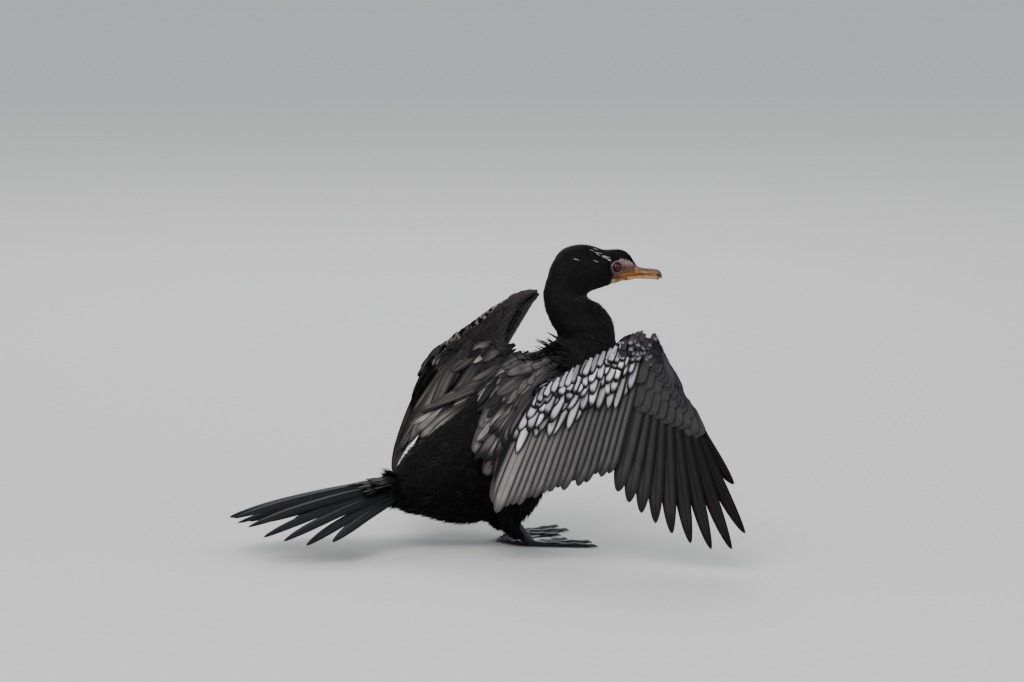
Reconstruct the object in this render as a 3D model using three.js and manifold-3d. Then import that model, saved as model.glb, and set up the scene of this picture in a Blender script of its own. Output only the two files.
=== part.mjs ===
// A long-tailed cormorant standing with its wings held out to dry, at life size.
// Millimetres. +X is the way the bird faces, +Y its left, +Z up; the floor is z = 0
// and the origin is the middle of the figure's footprint, wing tips and tail included.

import * as THREE from "three";
import Module from "manifold-3d";

const wasm = await Module();
wasm.setup();

const GAP = 0.3; // between pieces that touch
const BLADE = 0.6; // thickness of a flight or tail feather
const V = (x, y, z) => new THREE.Vector3(x, y, z);
const DEG = Math.PI / 180;

// Plain helpers

const lerp = THREE.MathUtils.lerp;
const mix = (a, b, t) => a.clone().lerp(b, t);
const unit = (x, y, z) => V(x, y, z).normalize();
const along = (from, way, length) => from.clone().addScaledVector(way, length);

// A closed skin over a row of rings. A ring of one point is a pole, and a longer first or
// last ring gets a flat end. Alike sets the same diagonals on both faces of a thin blade.
function loft(rings, alike = false) {
  const faces = [];
  let here = 0;
  rings.slice(1).forEach((ring, k) => {
    const count = rings[k].length;
    const next = here + count;
    const sides = Math.max(count, ring.length);
    for (let i = 0; i < sides; i += 1) {
      const j = (i + 1) % sides;
      if (count === 1) faces.push([here, next + j, next + i]);
      else if (ring.length === 1) faces.push([here + i, here + j, next]);
      else if (alike && i >= sides / 2) {
        faces.push([here + i, here + j, next + i], [here + j, next + j, next + i]);
      } else faces.push([here + i, here + j, next + j], [here + i, next + j, next + i]);
    }
    here = next;
  });
  for (let i = 1; i + 1 < rings[0].length; i += 1) faces.push([0, i + 1, i]);
  for (let i = 1; i + 1 < rings.at(-1).length; i += 1) faces.push([here, here + i, here + i + 1]);
  return solid(rings.flat(), faces);
}

// A solid from points and faces, turned the right way out.
function solid(points, faces) {
  const volume = faces.reduce((sum, [a, b, c]) => {
    return sum + points[a].dot(points[b].clone().cross(points[c]));
  }, 0);
  const outward = volume > 0 ? faces : faces.map(([a, b, c]) => [a, c, b]);
  const mesh = new wasm.Mesh({
    numProp: 3,
    vertProperties: new Float32Array(points.flatMap((p) => p.toArray())),
    triVerts: new Uint32Array(outward.flat()),
  });
  return new wasm.Manifold(mesh);
}

const fuse = (pieces) => pieces.reduce((whole, piece) => whole.add(piece));

// The largest closed surface of a solid, without scraps and sealed hollows.
function largest(whole) {
  const pieces = whole.decompose();
  return pieces.reduce((best, piece) => (piece.volume() > best.volume() ? piece : best));
}

// The two sides of a cut through a point, with the gap between them: [ahead, behind].
function parted(whole, at, normal) {
  const way = normal.clone().normalize();
  const offset = at.dot(way);
  const ahead = whole.trimByPlane(way.toArray(), offset + GAP / 2);
  const behind = whole.trimByPlane(way.clone().negate().toArray(), -offset + GAP / 2);
  return [ahead, behind];
}

// A smooth curve through rows of numbers, read at even steps.
function smooth(rows, steps) {
  const curve = (list) => new THREE.CatmullRomCurve3(list, false, "catmullrom", 0.5);
  const first = curve(rows.map((row) => V(row[0], row[1], row[2])));
  const second = curve(rows.map((row) => V(row[3] ?? 0, row[4] ?? 0, 0)));
  return Array.from({ length: steps + 1 }, (_, i) => {
    const [a, b] = [first.getPoint(i / steps), second.getPoint(i / steps)];
    return [a.x, a.y, a.z, b.x, b.y];
  });
}

// A body of upright oval sections. Each row is [x, top, bottom, half width].
function barrel(rows, steps, sides, grow = 0) {
  const rings = smooth(rows, steps).map(([x, top, bottom, half]) => {
    const [middle, tall] = [(top + bottom) / 2, (top - bottom) / 2 + grow];
    return Array.from({ length: sides }, (_, i) => {
      const turn = (2 * Math.PI * i) / sides;
      return V(x, (half + grow) * Math.cos(turn), middle + tall * Math.sin(turn));
    });
  });
  return loft(rings);
}

// A limb of oval sections along a curve. Each row is [x, y, z, half across, half deep].
function limb(rows, steps, sides, deepWay) {
  const stops = smooth(rows, steps);
  const rings = stops.map(([x, y, z, across, deep], i) => {
    const before = stops[Math.max(i - 1, 0)];
    const after = stops[Math.min(i + 1, stops.length - 1)];
    const way = V(after[0] - before[0], after[1] - before[1], after[2] - before[2]).normalize();
    const side = way.clone().cross(deepWay).normalize();
    const up = side.clone().cross(way);
    return Array.from({ length: sides }, (_, k) => {
      const turn = (2 * Math.PI * k) / sides;
      const centre = V(x, y, z).addScaledVector(side, across * Math.cos(turn));
      return centre.addScaledVector(up, deep * Math.sin(turn));
    });
  });
  return loft(rings);
}

// Feather outlines: [how far along, share of the full width]
const FLIGHT = [[0, 0.4], [0.35, 0.95], [0.78, 0.92], [0.93, 0.6], [1, 0.16]];
const FINGER = [[0, 0.4], [0.4, 1], [0.66, 0.8], [0.9, 0.55], [1, 0.12]];
const COVERT = [[0, 0.5], [0.6, 1], [0.9, 0.76], [1, 0.25]];
const SMALL = [[0, 0.6], [0.72, 1], [1, 0.35]];

// One feather as a flat blade. Way is the way it points, back its upper side and edge the
// side that lies over its neighbour; bow bends its tip down and sweep bends it to the edge.
function vane({ root, way, back, edge, length, width, outline, roll = 0, bow = 0, sweep = 0 }) {
  const flat = edge.clone().addScaledVector(way, -edge.dot(way)).normalize();
  const upright = back.clone().addScaledVector(way, -back.dot(way));
  upright.addScaledVector(flat, -upright.dot(flat)).normalize();
  const side = flat.clone().multiplyScalar(Math.cos(roll)).addScaledVector(upright, Math.sin(roll));
  const up = upright.clone().multiplyScalar(Math.cos(roll)).addScaledVector(flat, -Math.sin(roll));
  const rings = outline.map(([share, wide]) => {
    const centre = along(root, way, length * share);
    centre.addScaledVector(upright, -bow * length * share * share);
    centre.addScaledVector(flat, sweep * length * share * share);
    const half = (width * wide) / 2;
    const thick = (BLADE / 2) * (share === 1 ? 0.6 : 1);
    return [[-half, thick], [half, thick], [half, -thick], [-half, -thick]].map(([a, b]) =>
      centre.clone().addScaledVector(side, a).addScaledVector(up, b),
    );
  });
  return loft(rings, true);
}

// Trunk

// Rows of [x, top, bottom, half width] from the tail root to the breast
const TRUNK = [
  [-106, 68, 44, 15],
  [-94, 82, 35, 24],
  [-74, 103, 29, 33],
  [-46, 126, 21, 40],
  [-14, 150, 26, 42],
  [16, 167, 45, 42],
  [46, 176, 71, 39],
  [72, 178, 100, 33],
  [90, 168, 126, 23],
  [98, 156, 141, 12],
];
const TRUNK_STEPS = 14;
const TRUNK_SIDES = 18;

const trunk = barrel(TRUNK, TRUNK_STEPS, TRUNK_SIDES);
const trunkGrown = barrel(TRUNK, TRUNK_STEPS, TRUNK_SIDES, GAP);

// Neck and head

// Rows of [x, y, z, half width, half depth] up the S of the neck
const NECK = [
  [52, 0, 148, 24, 30],
  [70, 0, 166, 25, 29],
  [76, 0, 184, 23, 27.5],
  [66, 0, 200, 20.5, 24.5],
  [56, 0, 213, 18, 19.5],
  [54, 0, 228, 16, 18.5],
  [56, 0, 240, 14, 15],
];
const neckSolid = limb(NECK, 10, 14, V(1, 0, 0));

// Rows of [x, top, bottom, half width] from the nape to the bill's root
const HEAD = [
  [36, 247, 232, 7],
  [43, 256, 223, 13],
  [55, 264.5, 219, 16.5],
  [69.5, 267.6, 219.5, 17],
  [81, 265.8, 224.5, 15.5],
  [91, 262.3, 227.5, 13.8],
  [100, 261.4, 229.7, 12.6],
  [108, 260, 231.3, 10.8],
  [115, 255.5, 232.8, 8.2],
  [121, 247, 233.6, 5.8],
];
const headSolid = barrel(HEAD, 14, 16);

const EYE = { x: 102.5, y: 9.3, z: 246.6, radius: 4.2 };
const LID = { ring: 4.3, tube: 0.95 };
const MOUTH = { corner: 99, gape: 236, middle: 237.8, tip: 236.6, slit: 0.5 };

const eyeCentre = (side) => V(EYE.x, side * EYE.y, EYE.z);
const eyeWay = (side) => unit(0.24, side, 0.06);

// A closed three.js shape as a solid, turned so that its +Z points along way.
function placed(geometry, at, way) {
  const turn = new THREE.Quaternion().setFromUnitVectors(V(0, 0, 1), way);
  const flat = geometry.index.array;
  const position = geometry.attributes.position;
  const keys = new Map();
  const points = [];
  const where = Array.from({ length: position.count }, (_, i) => {
    const point = V(position.getX(i), position.getY(i), position.getZ(i));
    const key = point.toArray().map((value) => Math.round(value * 1e4)).join();
    if (!keys.has(key)) {
      keys.set(key, points.length);
      points.push(point.applyQuaternion(turn).add(at));
    }
    return keys.get(key);
  });
  const faces = [];
  for (let i = 0; i < flat.length; i += 3) {
    const face = [where[flat[i]], where[flat[i + 1]], where[flat[i + 2]]];
    if (new Set(face).size === 3) faces.push(face);
  }
  return solid(points, faces);
}

const ball = (radius) => new THREE.SphereGeometry(radius, 10, 7);
const eyeball = (side) => placed(ball(EYE.radius), eyeCentre(side), eyeWay(side));

// The short crest on the forehead: [how far forward of the eye, aside, length, rise]
const CREST = [[7, 0, 13, 0.3], [5, 2.6, 12, 0.26], [5, -2.6, 12, 0.26], [2, 0, 12, 0.34],
  [0, 2.8, 11, 0.3], [0, -2.8, 11, 0.3], [-3, 0, 11, 0.3]];

function crestFeather([ahead, aside, length, rise]) {
  const root = V(EYE.x + ahead, aside, 257.2 - 0.25 * Math.abs(ahead - 2));
  const way = unit(-1, 0.12 * aside, rise);
  return vane({ root, way, back: V(0, 0, 1), edge: V(0, 1, 0), length, width: 3.4, outline: SMALL });
}

// The slit of the mouth between the two halves of the bill, from its corner to past the tip
function mouthSlit() {
  const line = [[MOUTH.corner, MOUTH.gape], [113, MOUTH.middle], [131, MOUTH.middle - 0.3],
    [141, MOUTH.tip], [150, MOUTH.tip - 2.4]];
  const half = MOUTH.slit / 2;
  const rings = line.map(([x, z]) => [V(x, -12, z - half), V(x, 12, z - half),
    V(x, 12, z + half), V(x, -12, z + half)]);
  return loft(rings, true);
}

// The crown feathers join the head before it is cut from the neck.
const crown = fuse([headSolid, ...CREST.map(crestFeather)]);
const NECK_CUT = { at: V(54, 0, 219), normal: V(-0.22, 0, 0.98) };
const [aboveNeck, belowHead] = parted(fuse([neckSolid, crown]), NECK_CUT.at, NECK_CUT.normal);
const neckAbove = belowHead.trimByPlane([0, 0, 1], 150);
const neck = largest(neckAbove.subtract(trunkGrown));

function finishedHead() {
  const rings = [1, -1].map((side) => {
    const ring = new THREE.TorusGeometry(LID.ring, LID.tube, 4, 12);
    return placed(ring, along(eyeCentre(side), eyeWay(side), 2.3), eyeWay(side));
  });
  const sockets = [1, -1].map((side) =>
    placed(ball(EYE.radius + GAP), eyeCentre(side), eyeWay(side)),
  );
  return largest(fuse([aboveNeck, ...rings]).subtract(fuse(sockets)).subtract(mouthSlit()));
}

// Bill

// Rows of [x, top, bottom, half width] from the root to the hooked tip
const BILL = [
  [121.3, 246.8, 233.8, 5.7],
  [125, 244.6, 233.7, 4.9],
  [131, 242.8, 233.4, 4.1],
  [138, 241.6, 232.9, 3.7],
  [143, 239.8, 232.2, 3.2],
  [146, 237, 231.6, 2],
  [147, 234.6, 231.4, 1],
];

// The nostril slit in each side of the bill: rows of [x, z, y] and half sizes
const NOSTRIL = { line: [[123, 241.4, 4.9], [127.5, 241, 4.3], [132, 240.5, 3.9]], high: 0.3, deep: 0.8 };

function billHalves() {
  const whole = barrel(BILL, 9, 10);
  const halves = whole.subtract(mouthSlit()).decompose();
  halves.sort((a, b) => b.boundingBox().max[2] - a.boundingBox().max[2]);
  const slits = [1, -1].map((side) => {
    const rows = NOSTRIL.line.map(([x, z, y]) => [x, side * y, z, NOSTRIL.high, NOSTRIL.deep]);
    return limb(rows, 2, 6, V(0, 1, 0));
  });
  return [largest(halves[0].subtract(fuse(slits))), halves[1]];
}

// Legs and feet; side is 1 on the left and -1 on the right

const HIP = { x: 9, y: 25, z: 64 };
const HEEL = { x: -6, y: 25, z: 27 };
const TOE_ROOT = { x: 11, y: 25, z: 5.2 };
const HEEL_CUT = 24.5;
const ANKLE_CUT = 10.5;
// Toes: [angle outward from straight ahead, length, radius]
const TOES = [[26, 60, 2.9], [6, 56, 3], [-20, 42, 2.8], [-130, 27, 2.6]];
const CLAW = 8;
const WEB = { low: 0.35, thick: 1.1, reach: 0.93, hollow: 0.8 };

function toe([angle, length, radius], side) {
  const way = V(Math.cos(angle * DEG), side * Math.sin(angle * DEG), 0);
  const from = V(TOE_ROOT.x, side * TOE_ROOT.y, 0);
  const row = (share, size, height = 0.72) => {
    const at = along(from, way, length * share);
    return [at.x, at.y, radius * size * height, radius * size, radius * size];
  };
  const rows = [row(0, 1.25), row(0.3, 0.9), row(0.38, 1.02), row(0.62, 0.78), row(0.7, 0.9),
    row(0.93, 0.68)];
  const claw = [row(0.9, 0.55), row(0.9 + (0.45 * CLAW) / length, 0.45, 1.5),
    row(0.9 + CLAW / length, 0.12, 2.4)];
  return [limb(rows, 5, 6, V(0, 0, 1)), limb(claw, 2, 5, V(0, 0, 1))];
}

function web([angleA, lengthA], [angleB, lengthB], side) {
  const end = (angle, length) => {
    const turn = angle * DEG;
    return [length * WEB.reach * Math.cos(turn), length * WEB.reach * Math.sin(turn)];
  };
  const [a, b] = [end(angleA, lengthA), end(angleB, lengthB)];
  const middle = [WEB.hollow * (a[0] + b[0]) / 2, WEB.hollow * (a[1] + b[1]) / 2];
  const outline = new THREE.Shape();
  outline.moveTo(0, 0);
  outline.lineTo(a[0], a[1]);
  outline.quadraticCurveTo(middle[0], middle[1], b[0], b[1]);
  const points = outline.getPoints(3);
  const ring = (z) => points.map((point) =>
    V(TOE_ROOT.x + point.x, side * (TOE_ROOT.y + point.y), z));
  return loft([ring(WEB.low), ring(WEB.low + WEB.thick)]);
}

function leg(side) {
  const y = (size) => side * size;
  const thigh = limb([
    [HIP.x, y(HIP.y - 3), HIP.z, 15, 22],
    [HEEL.x + 8, y(25), 46, 12, 17],
    [HEEL.x + 3, y(25), 34, 8.5, 12],
    [HEEL.x, y(HEEL.y), HEEL.z, 6.6, 8.4],
    [HEEL.x + 1.5, y(HEEL.y), HEEL.z - 5, 5.4, 6.6],
  ], 6, 10, V(1, 0, 0));
  const shank = limb([
    [HEEL.x - 0.5, y(HEEL.y), HEEL.z + 1, 5, 6.4],
    [(HEEL.x + TOE_ROOT.x) / 2, y(25), 16, 4, 5.2],
    [TOE_ROOT.x, y(TOE_ROOT.y), TOE_ROOT.z, 4.6, 5],
    [TOE_ROOT.x + 3, y(TOE_ROOT.y), 2, 4.4, 4.6],
  ], 4, 8, V(1, 0, 0));
  const toes = TOES.flatMap((row) => toe(row, side));
  const webs = [0, 1, 2].map((i) => web(TOES[i], TOES[i + 1], side));
  const whole = fuse([thigh, shank, ...toes, ...webs]).trimByPlane([0, 0, 1], 0);
  const [upper, lower] = parted(whole, V(0, 0, HEEL_CUT), V(0, 0, 1));
  const [shin, foot] = parted(lower, V(0, 0, ANKLE_CUT), V(0, 0, 1));
  return { thigh: largest(upper.subtract(trunkGrown)), shin: largest(shin), foot: largest(foot) };
}

// Tail

// The tail hangs a little turned, so that its upper side shows from the right.
const TAIL = {
  root: V(-108, 0, 55), half: 6, spread: 34, length: 152, outer: 0.66, width: 15,
  back: V(0, 0, 1), roll: 24,
};
const TAIL_CORE = [
  [-105.5, 67, 44, 14.5],
  [-112, 66, 43, 17],
  [-122, 62, 42, 16],
  [-132, 57, 43, 11],
];

function tailFeather(index, side) {
  const share = (index + 0.5) / TAIL.half;
  const turn = TAIL.spread * share * DEG;
  const slope = -0.08 - 0.27 * share;
  const way = unit(-Math.cos(turn), side * Math.sin(turn), slope);
  const root = V(TAIL.root.x + 4 * share, side * 14 * share, TAIL.root.z + 3.5 - 9.5 * share);
  const length = TAIL.length * lerp(1, TAIL.outer, share ** 2);
  return vane({
    root, way, back: TAIL.back, edge: V(0, -side, 0), length, width: TAIL.width,
    outline: FLIGHT, roll: -side * TAIL.roll * DEG, bow: 0.02,
  });
}

// Coverts lie over the tail's root above (face 1) and below it (face -1).
const TAIL_COVERTS = { places: [-2, -1, 0, 1, 2], x: -110, aside: 4, turn: 0.17, width: 11 };
const COVERTS_ABOVE = { face: 1, high: 61, drop: 0.64, slope: -0.04, length: 44 };
const COVERTS_BELOW = { face: -1, high: 47, drop: 0, slope: -0.16, length: 36 };

function tailCovert(place, { face, high, drop, slope, length }) {
  const turn = TAIL_COVERTS.turn * place;
  const way = unit(-Math.cos(turn), Math.sin(turn), slope - 0.032 * place ** 2);
  const root = V(TAIL_COVERTS.x, TAIL_COVERTS.aside * place, high - drop * place ** 2);
  return vane({
    root, way, back: V(0, 0, face), edge: V(0, place > 0 ? -1 : 1, 0), length,
    width: TAIL_COVERTS.width, outline: COVERT, roll: 6 * DEG, bow: 0.03,
  });
}

function tail() {
  const core = barrel(TAIL_CORE, 5, 12);
  const feathers = [1, -1].flatMap((side) =>
    Array.from({ length: TAIL.half }, (_, i) => tailFeather(i, side)),
  );
  const coverts = [COVERTS_ABOVE, COVERTS_BELOW].flatMap((row) =>
    TAIL_COVERTS.places.map((place) => tailCovert(place, row)),
  );
  return largest(fuse([core, ...feathers, ...coverts]).subtract(trunkGrown));
}

// Wings

const SHOULDER = V(40, 28, 152);
const ARM = { humerus: 9, elbow: 8, forearm: 7.5, wrist: 9.5, hand: 6, tip: 3 };

const RIGHT = {
  side: -1,
  elbow: V(-2, -100, 152),
  wrist: V(85, -132, 198.5),
  hand: V(113, -158, 143),
  inner: unit(-0.42, -0.01, -0.905),
  outer: unit(-0.28, -0.065, -0.957),
  firstPrimary: unit(-0.29, 0, -0.96),
  lastPrimary: unit(0.355, -0.465, -0.82),
  shoulderFeather: unit(-0.77, -0.14, -0.62),
  backOfShoulder: unit(-0.55, -0.55, 0.63),
  backOfForearm: unit(-0.429, -0.885, 0.183),
  backOfHand: unit(-0.61, -0.77, 0.17),
  stack: { inner: 1, outer: 0, hand: 0 },
  rise: 1.5,
  share: 1,
  armFlat: 0.8,
  roll: 9,
  skinSlack: 1,
};

const LEFT = {
  side: 1,
  elbow: V(-33, 90, 157),
  wrist: V(55, 88, 213),
  hand: V(22.5, 110, 149.6),
  inner: unit(-0.38, 0.078, -0.922),
  outer: unit(-0.738, 0.282, -0.602),
  firstPrimary: unit(-0.65, 0.2, -0.735),
  lastPrimary: unit(-0.454, 0.34, -0.823),
  shoulderFeather: unit(-0.9, 0.1, -0.42),
  backOfShoulder: unit(-0.5, 0.1, 0.86),
  backOfForearm: unit(-0.368, 0.708, 0.602),
  backOfHand: unit(-0.35, 0.72, 0.6),
  stack: { inner: 3.6, outer: -4.5, hand: -2.5 },
  rise: 1,
  share: 0.68,
  armFlat: 1,
  roll: 0,
  skinSlack: 0.38,
};

function wingArm(wing) {
  const shoulder = SHOULDER.clone().setY(wing.side * SHOULDER.y);
  const rows = [
    [shoulder, ARM.humerus],
    [mix(shoulder, wing.elbow, 0.5), ARM.humerus * 0.95],
    [wing.elbow, ARM.elbow],
    [mix(wing.elbow, wing.wrist, 0.5), ARM.forearm],
    [wing.wrist, ARM.wrist],
    [mix(wing.wrist, wing.hand, 0.5), ARM.hand],
    [wing.hand, ARM.tip],
  ];
  const tube = (part) => limb(
    part.map(([at, size]) => [at.x, at.y, at.z, size, size * wing.armFlat]), 3, 8, wing.backOfForearm,
  );
  const fold = mix(wing.elbow, mix(shoulder, wing.wrist, 0.5), wing.skinSlack);
  const rim = new THREE.QuadraticBezierCurve3(shoulder, fold, wing.wrist).getPoints(4);
  const skin = (lift) => [wing.elbow, ...rim].map((at) => along(at, V(0, 0, 1), lift));
  return fuse([tube(rows.slice(0, 3)), tube(rows.slice(2, 5)), tube(rows.slice(4)),
    loft([skin(-2.5), skin(2.5)])]);
}

// A place s on the arm: shoulder -1, elbow 0, wrist 1, end of the hand 2.
function armPlace(wing, s) {
  const shoulder = SHOULDER.clone().setY(wing.side * SHOULDER.y);
  if (s < 0) return mix(wing.elbow, shoulder, -s);
  return s < 1 ? mix(wing.elbow, wing.wrist, s) : mix(wing.wrist, wing.hand, s - 1);
}

// The way the feathers at s point, their upper side, and the side they overlap towards
function lie(wing, s) {
  const turn = (a, b, t) => a.clone().lerp(b, t).normalize();
  let way = turn(wing.inner, wing.outer, s);
  if (s < 0) way = turn(wing.inner, wing.shoulderFeather, -s);
  if (s > 1) way = turn(wing.firstPrimary, wing.lastPrimary, s - 1);
  const handward = THREE.MathUtils.clamp(s - 0.5, 0, 1);
  const back = s < 0
    ? turn(wing.backOfForearm, wing.backOfShoulder, -s)
    : turn(wing.backOfForearm, wing.backOfHand, handward);
  const edge = back.clone().cross(way).multiplyScalar(-wing.side).normalize();
  return { way, back, edge };
}

// Feathers of a folded wing lie on one another, the inner ones on top.
function stackHeight({ stack }, s) {
  return s < 1 ? lerp(stack.inner, stack.outer, Math.max(s, 0)) : stack.hand;
}

// One feather rooted in the arm at s, ahead of its middle line and high above it
function wingFeather(wing, s, { ahead = 0, high = 0, lift = 0, roll = wing.roll * DEG, ...rest }) {
  const { way, back, edge } = lie(wing, s);
  const height = wing.rise * high + stackHeight(wing, s);
  const root = along(along(armPlace(wing, s), way, -ahead), back, height);
  const risen = way.clone().addScaledVector(back, lift).normalize();
  return vane({ root, way: risen, back, edge, roll, bow: 0.03, ...rest });
}

// Count feathers from one place on the arm to another
function row(wing, { count, from, to }, make) {
  const shown = Math.round(count * wing.share);
  return Array.from({ length: shown }, (_, k) => make(lerp(from, to, k / (shown - 1)), k / (shown - 1)));
}

const PRIMARIES = { count: 10, from: 1.1, to: 1.97 };
const PRIMARY = { first: 131, gain: 22, loss: 70, late: 0.66, fall: 3.4, width: 17, narrower: 3 };
const SECONDARIES = { count: 10, from: 0.05, to: 0.95 };
const SECONDARY = { length: 118, width: 17 };
const TERTIALS = { count: 4, from: -0.06, to: -0.42 };
const TERTIAL = { first: 109, loss: 27 };

function flightFeathers(wing) {
  const wide = 1 / wing.share ** 0.5;
  const primaries = row(wing, PRIMARIES, (s, share) => {
    const late = Math.max(0, (share - PRIMARY.late) / (1 - PRIMARY.late));
    const length = PRIMARY.first + PRIMARY.gain * share - PRIMARY.loss * late ** PRIMARY.fall;
    const width = PRIMARY.width - PRIMARY.narrower * share;
    return wingFeather(wing, s, { length, width, outline: FINGER, sweep: 0.05 * share });
  });
  const secondaries = row(wing, SECONDARIES, (s) =>
    wingFeather(wing, s, { length: SECONDARY.length, width: SECONDARY.width * wide, outline: FLIGHT }));
  const tertials = row(wing, TERTIALS, (s, share) => wingFeather(wing, s, {
    length: TERTIAL.first - TERTIAL.loss * share, width: SECONDARY.width * wide, outline: FLIGHT,
  }));
  return [...primaries, ...secondaries, ...tertials];
}

// Tiers of coverts: how many, from and to which place on the arm, and each feather's sizes
const TIERS = [
  { count: 12, from: -0.42, to: 0.97, high: 1.7, lift: 0.03, length: 47, width: 12, outline: COVERT },
  { count: 11, from: -0.4, to: 0.96, ahead: 1, high: 2.7, lift: 0.07, length: 33, width: 11,
    outline: COVERT },
  { count: 11, from: -0.36, to: 1, ahead: 3, high: 3.1, lift: 0.17, length: 20, width: 11,
    outline: SMALL },
  { count: 8, from: 1.12, to: 1.93, high: 1, lift: 0.04, length: 46, width: 11, outline: COVERT },
  { count: 6, from: -0.97, to: -0.4, ahead: -1, high: 2.6, lift: 0.02, length: 104, width: 16,
    outline: COVERT },
  { count: 5, from: -0.97, to: -0.5, ahead: 2, high: 3.8, lift: 0.08, length: 66, width: 14,
    outline: COVERT },
];

// The three feathers of the thumb lie along the hand's leading edge.
const ALULA = { count: 3, from: 1.22, step: 0.1, length: 40, width: 8.5 };

function alula(wing) {
  return Array.from({ length: ALULA.count }, (_, k) => {
    const s = ALULA.from + ALULA.step * k;
    const { way, back, edge } = lie(wing, 2);
    const root = along(along(armPlace(wing, s), edge, 1), back, 1.5);
    const aimed = way.clone().addScaledVector(edge, 0.12).addScaledVector(back, 0.05 - 0.03 * k);
    return vane({
      root, way: aimed.normalize(), back, edge, length: ALULA.length - 5 * k, width: ALULA.width,
      outline: COVERT, roll: 4 * DEG,
    });
  });
}

function wing(side) {
  const coverts = TIERS.flatMap((tier) => row(side, tier, (s) => wingFeather(side, s, tier)));
  const feathers = [...flightFeathers(side), ...coverts, ...alula(side)];
  return largest(fuse([wingArm(side), ...feathers]).subtract(trunkGrown));
}

// Nodes

const PLUMAGE = { color: 0x0d0e10, roughness: 0.7, metalness: 0 };
const WING = { color: 0x3a3a3d, roughness: 0.6, metalness: 0 };
const TAIL_LOOK = { color: 0x1b1b1e, roughness: 0.6, metalness: 0 };
const FOOT = { color: 0x17181b, roughness: 0.5, metalness: 0 };
const HORN = { color: 0xc8822e, roughness: 0.4, metalness: 0 };
const EYE_LOOK = { color: 0x4a0d12, roughness: 0.1, metalness: 0 };

// Every size above is laid out from the floor midway between the heels. The middle of the
// footprint lies this far from there.
const MIDDLE = { x: -52, y: -30 };

const bird = new THREE.Group();
bird.position.set(-MIDDLE.x, -MIDDLE.y, 0);

function addNode(name, shape, look) {
  const mesh = shape.getMesh();
  const geometry = new THREE.BufferGeometry();
  geometry.setAttribute("position", new THREE.BufferAttribute(mesh.vertProperties, 3));
  geometry.setIndex(new THREE.BufferAttribute(mesh.triVerts, 1));
  geometry.computeVertexNormals();
  const node = new THREE.Mesh(geometry, new THREE.MeshStandardMaterial(look));
  node.name = name;
  bird.add(node);
}

addNode("torso", trunk, PLUMAGE);
addNode("neck", neck, PLUMAGE);
addNode("head", finishedHead(), PLUMAGE);
const [billUpper, billLower] = billHalves();
addNode("bill_upper", billUpper, HORN);
addNode("bill_lower", billLower, HORN);
addNode("tail", tail(), TAIL_LOOK);
addNode("wing_right", wing(RIGHT), WING);
addNode("wing_left", wing(LEFT), WING);
for (const [name, side] of [["left", 1], ["right", -1]]) {
  addNode(`eye_${name}`, eyeball(side), EYE_LOOK);
  const { thigh, shin, foot } = leg(side);
  addNode(`thigh_${name}`, thigh, PLUMAGE);
  addNode(`shank_${name}`, shin, FOOT);
  addNode(`foot_${name}`, foot, FOOT);
}

export default bird;
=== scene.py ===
# The looks of a long-tailed cormorant that holds its wings out to dry.
# Sizes are in millimetres from the floor midway between the heels, +X ahead, +Y left.
import math

import bmesh
import bpy
import numpy as np
from mathutils import Matrix


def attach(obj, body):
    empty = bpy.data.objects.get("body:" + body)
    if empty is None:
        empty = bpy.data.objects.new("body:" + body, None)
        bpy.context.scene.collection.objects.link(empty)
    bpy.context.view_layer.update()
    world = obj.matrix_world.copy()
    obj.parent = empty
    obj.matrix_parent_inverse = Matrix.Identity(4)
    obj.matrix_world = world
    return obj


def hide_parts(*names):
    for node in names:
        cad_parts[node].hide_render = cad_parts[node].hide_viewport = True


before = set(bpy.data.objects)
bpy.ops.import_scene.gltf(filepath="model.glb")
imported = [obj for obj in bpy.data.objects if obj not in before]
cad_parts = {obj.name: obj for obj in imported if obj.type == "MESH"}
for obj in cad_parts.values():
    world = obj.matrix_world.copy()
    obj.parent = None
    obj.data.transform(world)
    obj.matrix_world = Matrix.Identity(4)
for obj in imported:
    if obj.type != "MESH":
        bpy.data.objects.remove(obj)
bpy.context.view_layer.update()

CAMERA_RIGHT = np.array([0.9455, -0.3256, 0.0])
CAMERA_UP = np.array([0.0509, 0.1479, 0.9877])
CAMERA_BACK = np.array([-0.3216, -0.9339, 0.1564])
CAMERA_AIM = CAMERA_RIGHT * 4.5 + CAMERA_UP * 180.9
CAMERA_FAR = 6000.0
PIXEL = 0.9
SHIFT = np.array([52.0, 30.0, 0.0])  # from the middle between the heels to the row's origin
rng = np.random.default_rng(17)


def V(*values):
    return np.array(values, float)


def unit(v):
    v = np.asarray(v, float)
    return v / np.maximum(np.linalg.norm(v, axis=-1, keepdims=True), 1e-9)


def lerp(a, b, t):
    return a + (b - a) * t


def step(a, b, x):
    t = np.clip((x - a) / (b - a), 0, 1)
    return t * t * (3 - 2 * t)


# Mesh helpers


def lay_tint(mesh, colours):
    """The points' colours, in the layer that the materials read."""
    layer = mesh.attributes.new("tint", "FLOAT_COLOR", "POINT")
    rgba = np.concatenate([colours, np.ones((len(colours), 1))], axis=1)
    layer.data.foreach_set("color", rgba.astype(np.float32).ravel())


def lay_uv(mesh, name, places, loops):
    layer = mesh.uv_layers.new(name=name)
    layer.data.foreach_set("uv", np.asarray(places, np.float32)[loops].ravel())


def smooth(mesh):
    mesh.polygons.foreach_set("use_smooth", np.ones(len(mesh.polygons), bool))


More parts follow.
